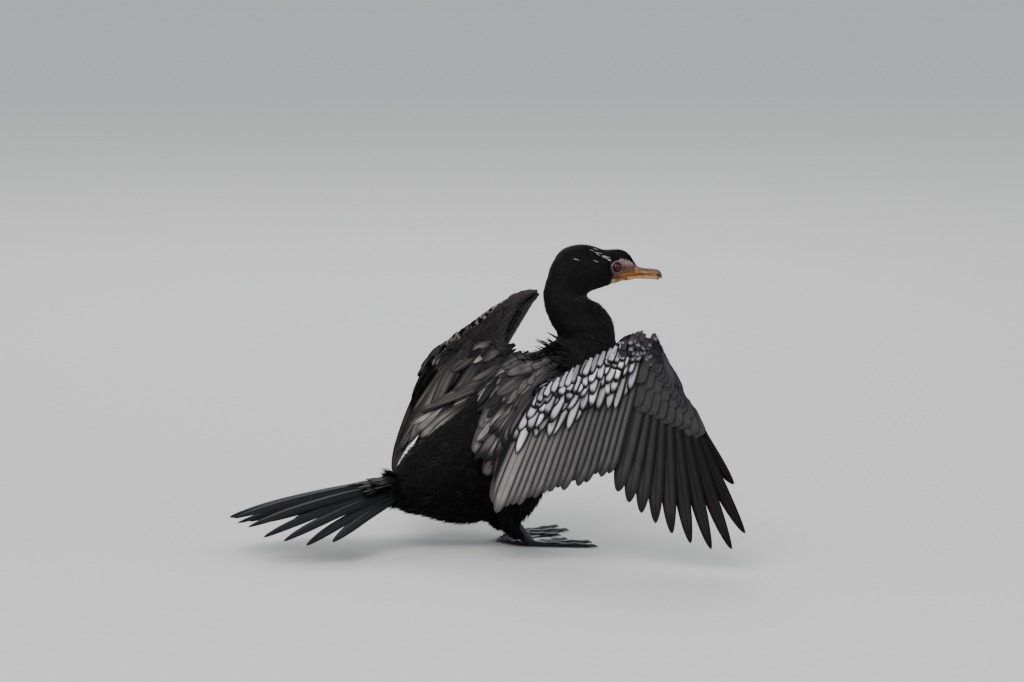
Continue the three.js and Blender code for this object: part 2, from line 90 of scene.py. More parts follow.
def make(name, verts, faces, material, tint=None, vane=None, bake=None):
    """A mesh object from arrays in millimetres. Faces is a list of index arrays."""
    mesh = bpy.data.meshes.new(name)
    verts = (np.asarray(verts, float) + SHIFT) / 1000
    mesh.vertices.add(len(verts))
    mesh.vertices.foreach_set("co", verts.astype(np.float32).ravel())
    sizes = np.concatenate([np.full(len(f), f.shape[1]) for f in faces])
    loops = np.concatenate([f.ravel() for f in faces]).astype(np.int32)
    mesh.loops.add(len(loops))
    mesh.loops.foreach_set("vertex_index", loops)
    mesh.polygons.add(len(sizes))
    starts = np.concatenate([[0], np.cumsum(sizes)[:-1]]).astype(np.int32)
    mesh.polygons.foreach_set("loop_start", starts)
    smooth(mesh)
    mesh.update(calc_edges=True)
    if bake is not None:
        lay_uv(mesh, "OFBake", bake, loops)
    if vane is not None:
        lay_uv(mesh, "vane", vane, loops)
    if tint is not None:
        lay_tint(mesh, tint)
    mesh.materials.append(material)
    piece = bpy.data.objects.new(name, mesh)
    bpy.context.scene.collection.objects.link(piece)
    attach(piece, "root")
    return piece


def spline(rows, steps):
    """Rows of numbers read smoothly at even steps."""
    rows = np.asarray(rows, float)
    rows = np.vstack([2 * rows[0] - rows[1], rows, 2 * rows[-1] - rows[-2]])
    count = len(rows) - 3
    t = np.linspace(0, count, steps + 1)
    k = np.minimum(t.astype(int), count - 1)
    f = (t - k)[:, None]
    a, b, c, d = rows[k], rows[k + 1], rows[k + 2], rows[k + 3]
    square, cube = 2 * a - 5 * b + 4 * c - d, 3 * b - a - 3 * c + d
    return 0.5 * (2 * b + (c - a) * f + square * f**2 + cube * f**3)


def tube(rings):
    """A closed skin over rings of the same count: points and faces."""
    rings = np.asarray(rings)
    n, m = rings.shape[:2]
    verts = np.vstack([rings.reshape(-1, 3), rings[0].mean(0), rings[-1].mean(0)])
    i, j = np.meshgrid(np.arange(n - 1), np.arange(m), indexing="ij")
    k = (j + 1) % m
    quads = np.stack([i * m + j, i * m + k, (i + 1) * m + k, (i + 1) * m + j], -1).reshape(-1, 4)
    j = np.arange(m)
    first = np.stack([np.full(m, n * m), (j + 1) % m, j], -1)
    last = np.stack([np.full(m, n * m + 1), (n - 1) * m + j, (n - 1) * m + (j + 1) % m], -1)
    return verts, quads, np.vstack([first, last])


def barrel(rows, steps, sides, grow=0.0):
    x, top, bottom, half = spline(rows, steps).T
    turn = np.linspace(0, 2 * np.pi, sides, endpoint=False)
    middle, tall = (top + bottom) / 2, (top - bottom) / 2 + grow
    rings = np.stack([
        np.repeat(x[:, None], sides, 1),
        (half + grow)[:, None] * np.cos(turn),
        middle[:, None] + tall[:, None] * np.sin(turn),
    ], -1)
    return tube(rings)


def limb(rows, steps, sides, deep_way, grow=0.0):
    stops = spline(rows, steps)
    centre = stops[:, :3]
    way = unit(np.gradient(centre, axis=0))
    side = unit(np.cross(way, deep_way))
    up = np.cross(side, way)
    turn = np.linspace(0, 2 * np.pi, sides, endpoint=False)
    rings = (centre[:, None] + side[:, None] * ((stops[:, 3] + grow)[:, None] * np.cos(turn))[..., None]
             + up[:, None] * ((stops[:, 4] + grow)[:, None] * np.sin(turn))[..., None])
    return tube(rings)


def joined(parts):
    """Several closed skins as one list of points and faces."""
    verts, quads, tris, base = [], [], [], 0
    for v, q, t in parts:
        verts.append(v)
        quads.append(q + base)
        tris.append(t + base)
        base += len(v)
    return np.vstack(verts), [np.vstack(quads), np.vstack(tris)]


def apply_modifiers(piece):
    bpy.context.view_layer.update()
    depsgraph = bpy.context.evaluated_depsgraph_get()
    mesh = bpy.data.meshes.new_from_object(piece.evaluated_get(depsgraph))
    piece.modifiers.clear()
    piece.data = mesh


def read(piece):
    mesh = piece.data
    points = np.empty(len(mesh.vertices) * 3, np.float32)
    normals = np.empty(len(mesh.vertices) * 3, np.float32)
    mesh.vertices.foreach_get("co", points)
    mesh.vertices.foreach_get("normal", normals)
    return points.reshape(-1, 3) * 1000 - SHIFT, normals.reshape(-1, 3).astype(float)


def write(piece, points):
    flat = ((points + SHIFT) / 1000).astype(np.float32).ravel()
    piece.data.vertices.foreach_set("co", flat)
    piece.data.update()


# Materials


def material(name, roughness=0.6, specular=0.5, coat=0.0, sheen=0.0):
    mat = bpy.data.materials.new(name)
    mat.use_nodes = True
    shader = mat.node_tree.nodes["Principled BSDF"]
    shader.inputs["Roughness"].default_value = roughness
    shader.inputs["Specular IOR Level"].default_value = specular
    shader.inputs["Coat Weight"].default_value = coat
    shader.inputs["Sheen Weight"].default_value = sheen
    return mat, mat.node_tree, shader


def node(tree, kind, inputs=None, **settings):
    made = tree.nodes.new(kind)
    for key, value in settings.items():
        setattr(made, key, value)
    for key, value in (inputs or {}).items():
        if isinstance(value, bpy.types.NodeSocket):
            tree.links.new(value, made.inputs[key])
        else:
            made.inputs[key].default_value = value
    return made


def ramp(tree, factor, stops):
    made = node(tree, "ShaderNodeValToRGB", {0: factor})
    elements = made.color_ramp.elements
    while len(elements) < len(stops):
        elements.new(0.5)
    for element, (place, value) in zip(elements, stops):
        element.position = place
        element.color = (value, value, value, 1) if np.isscalar(value) else (*value, 1)
    return made.outputs[0]


def multiplied(tree, a, b):
    mix = node(tree, "ShaderNodeMix", data_type="RGBA", blend_type="MULTIPLY")
    mix.inputs[0].default_value = 1
    tree.links.new(a, mix.inputs[6])
    tree.links.new(b, mix.inputs[7])
    return mix.outputs[2]


def tint_of(tree):
    return node(tree, "ShaderNodeAttribute", attribute_name="tint").outputs["Color"]


def noise_at(tree, scale, detail):
    """Noise over the part's own places."""
    place = node(tree, "ShaderNodeNewGeometry").outputs["Position"]
    return node(tree, "ShaderNodeTexNoise", {"Vector": place, "Scale": scale, "Detail": detail}).outputs[0]


def shaded(tree, shader, shade):
    """The points' tint times a shade, as the surface's colour."""
    tree.links.new(multiplied(tree, tint_of(tree), shade), shader.inputs["Base Color"])


def bumped(tree, shader, height, strength, distance, invert=False):
    sizes = {"Height": height, "Strength": strength, "Distance": distance}
    bump = node(tree, "ShaderNodeBump", sizes, invert=invert)
    tree.links.new(bump.outputs[0], shader.inputs["Normal"])


def vane_material(name, roughness=0.55, barbs=900.0, depth=0.12):
    """Feather: its tint, fine barbs that slant from the shaft, and a little mottle."""
    mat, tree, shader = material(name, roughness, 0.12)
    vane = node(tree, "ShaderNodeUVMap", uv_map="vane").outputs[0]
    split = node(tree, "ShaderNodeSeparateXYZ", {0: vane})
    aside = node(tree, "ShaderNodeMath", {0: split.outputs[1]}, operation="ABSOLUTE").outputs[0]
    back = node(tree, "ShaderNodeMath", {0: aside, 1: 1.3}, operation="MULTIPLY").outputs[0]
    place = node(tree, "ShaderNodeMath", {0: split.outputs[0], 1: back}, operation="SUBTRACT").outputs[0]
    spot = node(tree, "ShaderNodeCombineXYZ", {0: place, 1: split.outputs[1]}).outputs[0]
    stretch = node(tree, "ShaderNodeVectorMath", {0: spot, 1: (1, 0.08, 1)}, operation="MULTIPLY").outputs[0]
    fine = node(tree, "ShaderNodeTexNoise", {"Vector": stretch, "Scale": barbs * 0.55, "Detail": 3}).outputs[0]
    broad = node(tree, "ShaderNodeTexNoise", {"Vector": stretch, "Scale": barbs * 0.08, "Detail": 2}).outputs[0]
    soft = [(0.3, 0.86), (0.7, 1.1)]
    shade = multiplied(tree, ramp(tree, fine, soft), ramp(tree, broad, soft))
    shaded(tree, shader, shade)
    bumped(tree, shader, fine, depth, 0.0004)
    return mat


def tuft_material(name):
    mat, tree, shader = material(name, 0.6, 0.07)
    shaded(tree, shader, ramp(tree, noise_at(tree, 700, 2), [(0.3, 0.6), (0.7, 1.35)]))
    return mat


def skin_material(name, roughness=0.45, scale=900, bump=0.3, specular=0.5):
    """Bare or feathered skin: its tint with fine beads and mottle."""
    mat, tree, shader = material(name, roughness, specular)
    place = node(tree, "ShaderNodeNewGeometry").outputs["Position"]
    cells = node(tree, "ShaderNodeTexVoronoi", {"Vector": place, "Scale": scale}).outputs["Distance"]
    noise = node(tree, "ShaderNodeTexNoise", {"Vector": place, "Scale": scale * 0.4, "Detail": 4}).outputs[0]
    beads = ramp(tree, cells, [(0, 1.25), (0.6, 0.75)])
    mottle = ramp(tree, noise, [(0.3, 0.75), (0.7, 1.2)])
    shaded(tree, shader, multiplied(tree, beads, mottle))
    bumped(tree, shader, cells, bump, 0.0005, invert=True)
    return mat


WING_LOOK = vane_material("wing_vanes")
TAIL_LOOK = vane_material("tail_vanes", roughness=0.6)
COAT_LOOK = tuft_material("coat")
SKIN_LOOK = skin_material("skin", specular=0.15)

# The bird's shape, from the same sizes as its solids

TRUNK = [
    [-106, 68, 44, 15], [-94, 82, 35, 24], [-74, 103, 29, 33], [-46, 126, 21, 40], [-14, 150, 26, 42],
    [16, 167, 45, 42], [46, 176, 71, 39], [72, 178, 100, 33], [90, 168, 126, 23], [98, 156, 141, 12],
]
NECK = [
    [52, 0, 148, 24, 30], [70, 0, 166, 25, 29], [76, 0, 184, 23, 27.5], [66, 0, 200, 20.5, 24.5],
    [51.6, 0, 213, 17.5, 17], [49.3, 0, 228, 15.5, 16.6], [52, 0, 240, 13, 12.5],
]
HEAD = [
    [40.5, 243, 230, 8], [46, 254.5, 221, 13], [55, 264.5, 219, 16.5], [69.5, 267.6, 219.5, 17],
    [81, 265.8, 224.5, 15.5], [91, 262.3, 227.5, 13.8], [100, 261.8, 229.7, 12.6], [108, 261.2, 231.3, 10.8],
    [115, 257.8, 232.8, 8.4], [121, 249.5, 233.6, 6], [124.5, 245.5, 234.2, 4.4],
]
EYE = {"x": 100.3, "y": 9.3, "z": 246.6, "radius": 4.2}
BILL = [
    [112, 249.5, 232.6, 7.6], [117, 248.4, 233.2, 6.4], [121.3, 246.8, 233.8, 5.5], [125, 244.6, 233.7, 4.9],
    [131, 243.1, 233.2, 4.1], [138, 242.2, 232.6, 3.8], [143, 241.2, 231.8, 3.4], [146, 239.2, 231.2, 2.6],
    [147.4, 236, 231.2, 1.2],
]
LOWER_BILL_END = 144.2
SHOULDER = V(40, 28, 152)
COAT_DEPTH = 1.6


def eye_centre(side):
    return V(EYE["x"], side * EYE["y"], EYE["z"])


def eye_way(side):
    return unit(V(0.24, side, 0.06))


RIGHT = dict(
    side=-1, elbow=V(-2, -100, 152), wrist=V(85, -132, 198.5), hand=V(113, -158, 143),
    inner=unit(V(-0.42, -0.01, -0.905)), outer=unit(V(-0.28, -0.065, -0.957)),
    first=unit(V(-0.29, 0, -0.96)), last=unit(V(0.355, -0.465, -0.82)),
    shoulder=unit(V(-0.77, -0.14, -0.62)), back_shoulder=unit(V(-0.55, -0.55, 0.63)),
    back_forearm=unit(V(-0.429, -0.885, 0.183)), back_hand=unit(V(-0.61, -0.77, 0.17)),
    stack=(1, 0, 0), rise=1.5, flat=0.8, roll=9, slack=1, bend=0.12, curve=0.04, arch=0.04,
    sizes=(9, 8.5, 8, 7.5, 9.5, 6, 3),
)
LEFT = dict(
    side=1, elbow=V(-33, 90, 157), wrist=V(55, 88, 213), hand=V(22.5, 110, 149.6),
    inner=unit(V(-0.38, 0.078, -0.922)), outer=unit(V(-0.738, 0.282, -0.602)),
    first=unit(V(-0.65, 0.2, -0.735)), last=unit(V(-0.454, 0.34, -0.823)),
    shoulder=unit(V(-0.9, 0.1, -0.42)), back_shoulder=unit(V(-0.5, 0.1, 0.86)),
    back_forearm=unit(V(-0.368, 0.708, 0.602)), back_hand=unit(V(-0.35, 0.72, 0.6)),
    stack=(3.6, -4.5, -2.5), rise=1, flat=1, roll=0, slack=0.38, bend=0, curve=0.2, arch=0.10,
    sizes=(9, 8.5, 8, 8.5, 4, 3.5, 3),
)


def side_name(wing):
    return "right" if wing["side"] < 0 else "left"


def shoulder_of(wing):
    return SHOULDER * V(1, wing["side"], 1)


def arm_rows(wing):
    a, b, c, d = shoulder_of(wing), wing["elbow"], wing["wrist"], wing["hand"]
    sizes = wing["sizes"]
    rows = list(zip([a, lerp(a, b, 0.5), b, lerp(b, c, 0.5), c, lerp(c, d, 0.5), d], sizes))
    rows = [[*at, size, size * wing["flat"]] for at, size in rows]
    return [rows[:3], rows[2:5], rows[4:]]


def fold_rim(wing, t):
    """The free edge of the fold of skin between shoulder and wrist."""
    a, c = shoulder_of(wing), wing["wrist"]
    b = lerp(wing["elbow"], lerp(a, c, 0.5), wing["slack"])
    return (1 - t) ** 2 * a + 2 * t * (1 - t) * b + t**2 * c


def patagium(wing):
    rings = []
    for t in np.linspace(0, 1, 13):
        rim = fold_rim(wing, t)
        root = lerp(wing["elbow"], rim, 0.04)
        up = V(0, 0, 2.2)
        rings.append([root - up, rim - up, rim + up, root + up])
    return tube(np.array(rings))


def leg_rows(side):
    y = side * 25.0
    return [
        [9, y - 3 * side, 64, 15, 22], [2, y, 46, 12, 17], [-3, y, 34, 8.5, 12], [-6, y, 27, 6.6, 8.4],
        [-4.5, y, 22, 5.4, 6.6],
    ]


def body_skin():
    parts = [barrel(TRUNK, 60, 64, -COAT_DEPTH), limb(NECK, 40, 48, V(1, 0, 0), -COAT_DEPTH),
             barrel(HEAD, 60, 48, -0.6)]
    for side in (1, -1):
        parts.append(limb(leg_rows(side), 20, 24, V(1, 0, 0), -0.8))
    for wing in (RIGHT, LEFT):
        parts += [limb(rows, 16, 20, wing["back_forearm"], -0.8) for rows in arm_rows(wing)]
        parts.append(patagium(wing))
    verts, faces = joined(parts)
    piece = make("skin", verts, faces, SKIN_LOOK)
    remesh = piece.modifiers.new("remesh", "REMESH")
    remesh.mode = "VOXEL"
    remesh.voxel_size = 0.0014
    soften = piece.modifiers.new("soften", "SMOOTH")
    soften.iterations = 8
    soften.factor = 0.5
    apply_modifiers(piece)
    return piece


def relax(piece, share_at, rounds):
    """Evens out the skin where share_at gives more than 0."""
    points, _ = read(piece)
    edges = np.empty(len(piece.data.edges) * 2, np.int32)
    piece.data.edges.foreach_get("vertices", edges)
    a, b = edges.reshape(-1, 2).T
    count = np.bincount(a, minlength=len(points)) + np.bincount(b, minlength=len(points))
    share = share_at(points)[:, None]
    for _ in range(rounds):
        total = np.empty_like(points)
        for axis in range(3):
            total[:, axis] = (np.bincount(a, points[b, axis], len(points))
                              + np.bincount(b, points[a, axis], len(points)))
        points = points + share * 0.6 * (total / count[:, None] - points)
    write(piece, points)


def nape(points):
    x, y, z = points.T
    return step(196, 206, z) * step(246, 234, z) * step(86, 76, x)


def chest(points):
    x, _, z = points.T
    return step(50, 62, x) * step(118, 134, z) * step(200, 186, z)


skin = body_skin()
relax(skin, nape, 90)
relax(skin, chest, 60)


def refine_face(piece):
    """Finer faces where the skin is bare, round the eyes and the mouth."""
    for reach, depth in ((24, 1), (9, 1)):
        mesh = bmesh.new()
        mesh.from_mesh(piece.data)
        chosen = set()
        for face in mesh.faces:
            c = np.array(face.calc_center_median()) * 1000 - SHIFT
            far = min(np.linalg.norm(c - eye_centre(s)) for s in (1, -1))
            if c[0] > 86 and c[2] > 222 and far < reach:
                chosen.update(face.edges)
        bmesh.ops.subdivide_edges(mesh, edges=list(chosen), cuts=depth, use_grid_fill=True, smooth=0)
        mesh.to_mesh(piece.data)
        mesh.free()


refine_face(skin)


def mouth_height(x):
    return np.interp(x, [97, 99, 113, 131, 141, 150], [235.6, 236, 237.8, 237.5, 236.6, 234.2])


def shape_face(piece):
    """Sockets, the ring of the lids, the crease of the mouth and the folds of the throat."""
    points, normals = read(piece)
    for side in (1, -1):
        away = points - eye_centre(side)
        along = away @ eye_way(side)
        radial = np.linalg.norm(away - along[:, None] * eye_way(side), axis=1)
        near = (along > -3) & (radial < 9) & (points[:, 1] * side > 2)
        lift = 1.0 * np.exp(-(((radial - 5.0) / 0.85) ** 2)) - 0.35 * np.exp(-(((radial - 6.6) / 0.6) ** 2))
        dip = -3.2 * step(4.6, 3.6, radial)
        move = np.where(near, lift + dip, 0)
        points += move[:, None] * eye_way(side)
    x, y, z = points.T
    gape = np.exp(-(((z - mouth_height(x)) / 0.55) ** 2)) * step(96, 98.5, x) * (np.abs(y) > 2)
    points -= normals * (0.75 * gape)[:, None]
    throat = np.sin(z * 2.2 + 0.25 * x) * step(235, 233, z) * step(92, 96, x)
    points += normals * (0.12 * throat)[:, None]
    write(piece, points)


shape_face(skin)


# Which head skin is bare: 1 on the lores, round the eye and under the gape
def bare(points):
    x, y, z = points.T
    edge = np.interp(z, [228, 231.4, 236.5, 239.8, 243, 247, 251, 254, 257, 259],
                     [98, 96.4, 96.4, 97.4, 95.6, 94.6, 95, 98, 103, 109])
    top = np.interp(x, [95, 100, 105, 110, 114, 118, 122],
                    [250.5, 252.8, 254, 253.6, 251.6, 248.8, 246.5])
    return step(-0.6, 0.6, x - edge) * step(0.8, -0.8, z - top) * step(228, 229.5, z)


def mixed(colour, other, share):
    return colour * (1 - share[:, None]) + np.asarray(other, float) * share[:, None]


BLACK = V(0.0042, 0.0041, 0.0042)


def skin_tint(points):
    x, y, z = points.T
    colour = np.tile(BLACK * 0.8, (len(points), 1))
    far = np.linalg.norm(np.stack([x - EYE["x"], z - EYE["z"]], 1), axis=1)
    face = np.tile(V(0.075, 0.032, 0.038), (len(points), 1))
    face = mixed(face, (0.17, 0.075, 0.09), np.exp(-((x - 114) / 4) ** 2 - ((z - 247) / 2.4) ** 2))
    face = mixed(face, (0.115, 0.07, 0.03), step(244.8, 242.4, z) * step(98, 102, x))
    face = mixed(face, (0.33, 0.135, 0.03), step(241.2, 239.2, z) * step(101, 106, x))
    face = mixed(face, (0.115, 0.03, 0.02), np.exp(-((x - 101.5) / 3.6) ** 2 - ((z - 237.4) / 2.2) ** 2))
    face = mixed(face, (0.36, 0.29, 0.11), step(236.4, 235, z) * step(104, 98, x))
    face = mixed(face, (0.40, 0.20, 0.05), step(235.5, 234, z) * step(101, 106, x))
    face = mixed(face, (0.15, 0.105, 0.105), np.exp(-(((far - 5.3) / 0.8) ** 2)) * step(108, 101, x))
    face = mixed(face, (0.045, 0.014, 0.018), np.exp(-(((far - 4.2) / 0.5) ** 2)))
    lips = np.exp(-(((z - mouth_height(x)) / 0.4) ** 2)) * step(97, 99, x)
    face = mixed(face, (0.05, 0.012, 0.01), 0.85 * lips)
    face = mixed(face, (0.03, 0.02, 0.02), step(3.4, 1.6, np.abs(y)) * step(240, 246, z))
    speck = rng.random(len(points)) < 0.3
    spotted = speck * step(246.5, 249.5, z) * step(101, 105, x)
    face = mixed(face, (0.62, 0.54, 0.50), spotted * 0.9)
    shown = bare(points)[:, None]
    return colour * (1 - shown) + face * shown


skin_points, skin_normals = read(skin)
lay_tint(skin.data, skin_tint(skin_points))
smooth(skin.data)


# The skin's own unwrap: side views of the two halves, laid beside each other
def unwrap(points):
    x, y, z = points.T
    u = (x + 70) / 420 * 0.96
    v = (z + 2) / 300
    half = np.where(y > 0, 0.5, 0)
    flat = np.stack([0.01 + (u + 0.02) * 0.48 + half, 0.02 + v * 0.62], 1)
    return np.clip(flat, 0.002, 0.998)


loop_index = np.empty(len(skin.data.loops), np.int32)
skin.data.loops.foreach_get("vertex_index", loop_index)
lay_uv(skin.data, "OFBake", unwrap(skin_points), loop_index)
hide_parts("torso", "neck", "head", "thigh_left", "thigh_right")

# Tufts: the fine body feathers, each a fan of slivers


def tufts(name, root, normal, flow, length, width, lift, colour, slivers=5, spread=0.5, curl=0.5, limit=185000):
    """Fans of slivers rooted in the skin, in pieces of fewer triangles than the limit."""
    n = len(root)
    flow = unit(flow - (flow * normal).sum(1)[:, None] * normal)
    side = np.cross(normal, flow)
    places = unwrap(root)
    k = (np.arange(slivers) - (slivers - 1) / 2) / max(1, (slivers - 1) / 2)
    angle = spread * 0.5 * k[None] + rng.normal(0, 0.12, (n, slivers))
    long = length[:, None] * (1 - 0.22 * np.abs(k)[None] + rng.normal(0, 0.13, (n, slivers)))
    heading = (np.cos(angle)[..., None] * flow[:, None] + np.sin(angle)[..., None] * side[:, None])
    across = np.cross(np.broadcast_to(normal[:, None], heading.shape), heading)
    base = root[:, None] + side[:, None] * (k[None] * width[:, None] * 0.3)[..., None]
    half = (width[:, None] / slivers * 0.95)[..., None] * np.ones((1, slivers, 1))
    points = []
    for t, wide in ((0.0, 0.8), (0.5, 1.0), (1.0, 0.0)):
        rise = -0.6 * (1 - t) + (lift[:, None] * long) * (t - curl * t * t) + 0.25 * t
        centre = base + heading * (long * t)[..., None] + normal[:, None] * rise[..., None]
        if wide:
            points += [centre - across * half * wide, centre + across * half * wide]
        else:
            points.append(centre)
    verts = np.stack(points, 2)
    tone = V(0.75, 0.75, 1.0, 1.0, 1.25)
    tints = colour[:, None, None] * tone[None, None, :, None] * (1 + rng.normal(0, 0.12, (n, slivers, 1, 1)))
    tints = np.broadcast_to(np.clip(tints, 0, 1), (n, slivers, 5, 3))
    offset = np.array([[0, -0.4], [0, 0.4], [0.5, -0.4], [0.5, 0.4], [1, 0]]) * 0.0028 - V(0.0014, 0)
    bake = places[:, None, None] + offset[None, None] * np.ones((1, slivers, 1, 1))
    triangle = np.array([[0, 1, 3], [0, 3, 2], [2, 3, 4]])
    per = limit // (slivers * 3)
    for part, start in enumerate(range(0, n, per)):
        stop = min(n, start + per)
        count = (stop - start) * slivers
        faces = (np.arange(count)[:, None, None] * 5 + triangle[None]).reshape(-1, 3)
        make(f"{name}_{part}", verts[start:stop].reshape(-1, 3), [faces], COAT_LOOK,
             tint=tints[start:stop].reshape(-1, 3), bake=np.clip(bake[start:stop].reshape(-1, 2), 0, 1))


# The line down the middle of the body, from the bill to the tail, that the coat follows
SPINE = np.array([
    [122, 0, 240], [100, 0, 247], [76, 0, 246], [60, 0, 236], [55, 0, 222], [60, 0, 208], [68, 0, 196],
    [66, 0, 176], [56, 0, 152], [38, 0, 128], [8, 0, 100], [-30, 0, 82], [-70, 0, 66], [-110, 0, 54],
], float)


def flow_at(points):
    line = spline(SPINE, 80)
    tangent = unit(np.gradient(line, axis=0))
    far = ((points[:, None] - line[None]) ** 2).sum(-1)
    weight = np.exp(-(far - far.min(1)[:, None]) / 180.0)
    return unit((weight[..., None] * tangent[None]).sum(1))


def arm_distance(points):
    best = np.full(len(points), 1e9)
    for wing in (RIGHT, LEFT):
        stops = [shoulder_of(wing), wing["elbow"], wing["wrist"], wing["hand"]]
        for a, b in zip(stops, stops[1:]):
            t = np.clip(((points - a) @ (b - a)) / ((b - a) @ (b - a)), 0, 1)
            best = np.minimum(best, np.linalg.norm(points - a - t[:, None] * (b - a), axis=1))
    return best


def trunk_half(points):
    rows = np.array(TRUNK, float)
    x, y, z = points.T
    top, bottom, half = (np.interp(x, rows[:, 0], rows[:, i]) for i in (1, 2, 3))
    level = np.clip((z - (top + bottom) / 2) / ((top - bottom) / 2), -1, 1)
    return half * np.sqrt(1 - level**2), level


def body_coat():
    points, normals = skin_points, skin_normals
    x, y, z = points.T
    half, level = trunk_half(points)
    on_arm = (arm_distance(points) < 13) & (np.abs(y) > np.maximum(half + 3, 31)) & (z > 110) & (z < 222)
    on_arm |= np.abs(y) > 46
    on_leg = z < 24.5
    is_bare = bare(points) > 0.5
    keep = ~(on_arm | on_leg | is_bare)
    head = step(212, 222, z) * step(30, 40, x)
    neck = step(176, 190, z) * (1 - head)
    belly = step(-0.1, -0.75, level) * (z < 120)
    rump = step(-55, -85, x)
    mantle = step(150, 162, z) * (1 - neck) * (1 - head) * step(0.5, 0.85, level)
    # how thickly the skin's own points are used, by place
    chance = lerp(0.30, 0.62, neck)
    chance = lerp(chance, 0.95, head)
    eye_far = [np.linalg.norm(points - eye_centre(side), axis=1) for side in (1, -1)]
    fine_face = np.minimum(*eye_far) < 25
    chance = np.where(fine_face & (x > 86), 0.42, chance)
    chosen = keep & (rng.random(len(points)) < chance)
    p, n = points[chosen], normals[chosen]
    pick = lambda a: a[chosen]
    length = 11 + 3.5 * pick(belly) + 2 * pick(rump) + 2.5 * pick(mantle)
    length = lerp(length, 6.5, pick(neck))
    length = lerp(length, 3.8 - 1.3 * step(84, 96, p[:, 0]), pick(head))
    length = np.where(p[:, 2] < 60, np.minimum(length, 12), length)
    thigh = (np.abs(p[:, 1]) > 8) & (p[:, 2] < 50) & (p[:, 0] > -22) & (p[:, 0] < 32)
    length = np.where(thigh & (p[:, 2] < 36), 9, length)
    length = length * (1 + rng.normal(0, 0.14, len(p)))
    width = lerp(4.2, 2.4, pick(neck))
    width = lerp(width, 1.5, pick(head))
    lift = 0.12 + 0.25 * pick(belly) + 0.10 * pick(rump) + 0.30 * pick(mantle) * rng.random(len(p))
    lift = lerp(lift, 0.14, pick(neck))
    lift = lerp(lift, 0.12, pick(head)) * (1 + 0.4 * rng.normal(0, 1, len(p)))
    flow = flow_at(p)
    down = thigh[:, None] * V(-0.25, 0, -1)
    flow = unit(flow * (1 - 0.85 * thigh[:, None]) + down)
    flow = unit(flow + 0.16 * rng.normal(0, 1, flow.shape))
    tone = lerp(lerp(1.0, 1.5, pick(neck)), 1.9, pick(head))[:, None]
    uneven = lerp(0.35, 0.15, np.maximum(pick(neck), pick(head)))[:, None]
    colour = BLACK * tone * (1 + uneven * rng.normal(0, 1, (len(p), 1))).clip(0.4, 2)
    # painted sheen: about one body tuft in ten, none on the head, is made twice as bright
    painted_sheen = rng.random(len(p)) < lerp(0.1, 0.0, pick(head))
    colour = np.where(painted_sheen[:, None], colour * V(2, 2, 2.05), colour)
    tufts("coat_body", p, n, flow, length, width, np.clip(lift, 0.02, 0.8), colour)


body_coat()

# Feathers


def outline_width(u, tip, power, base):
    rise = base + (1 - base) * step(0, 0.32, u)
    x = np.clip((u - tip) / (1 - tip), 0, 1)
    return rise * np.maximum(1 - x**power, 0) ** 0.62


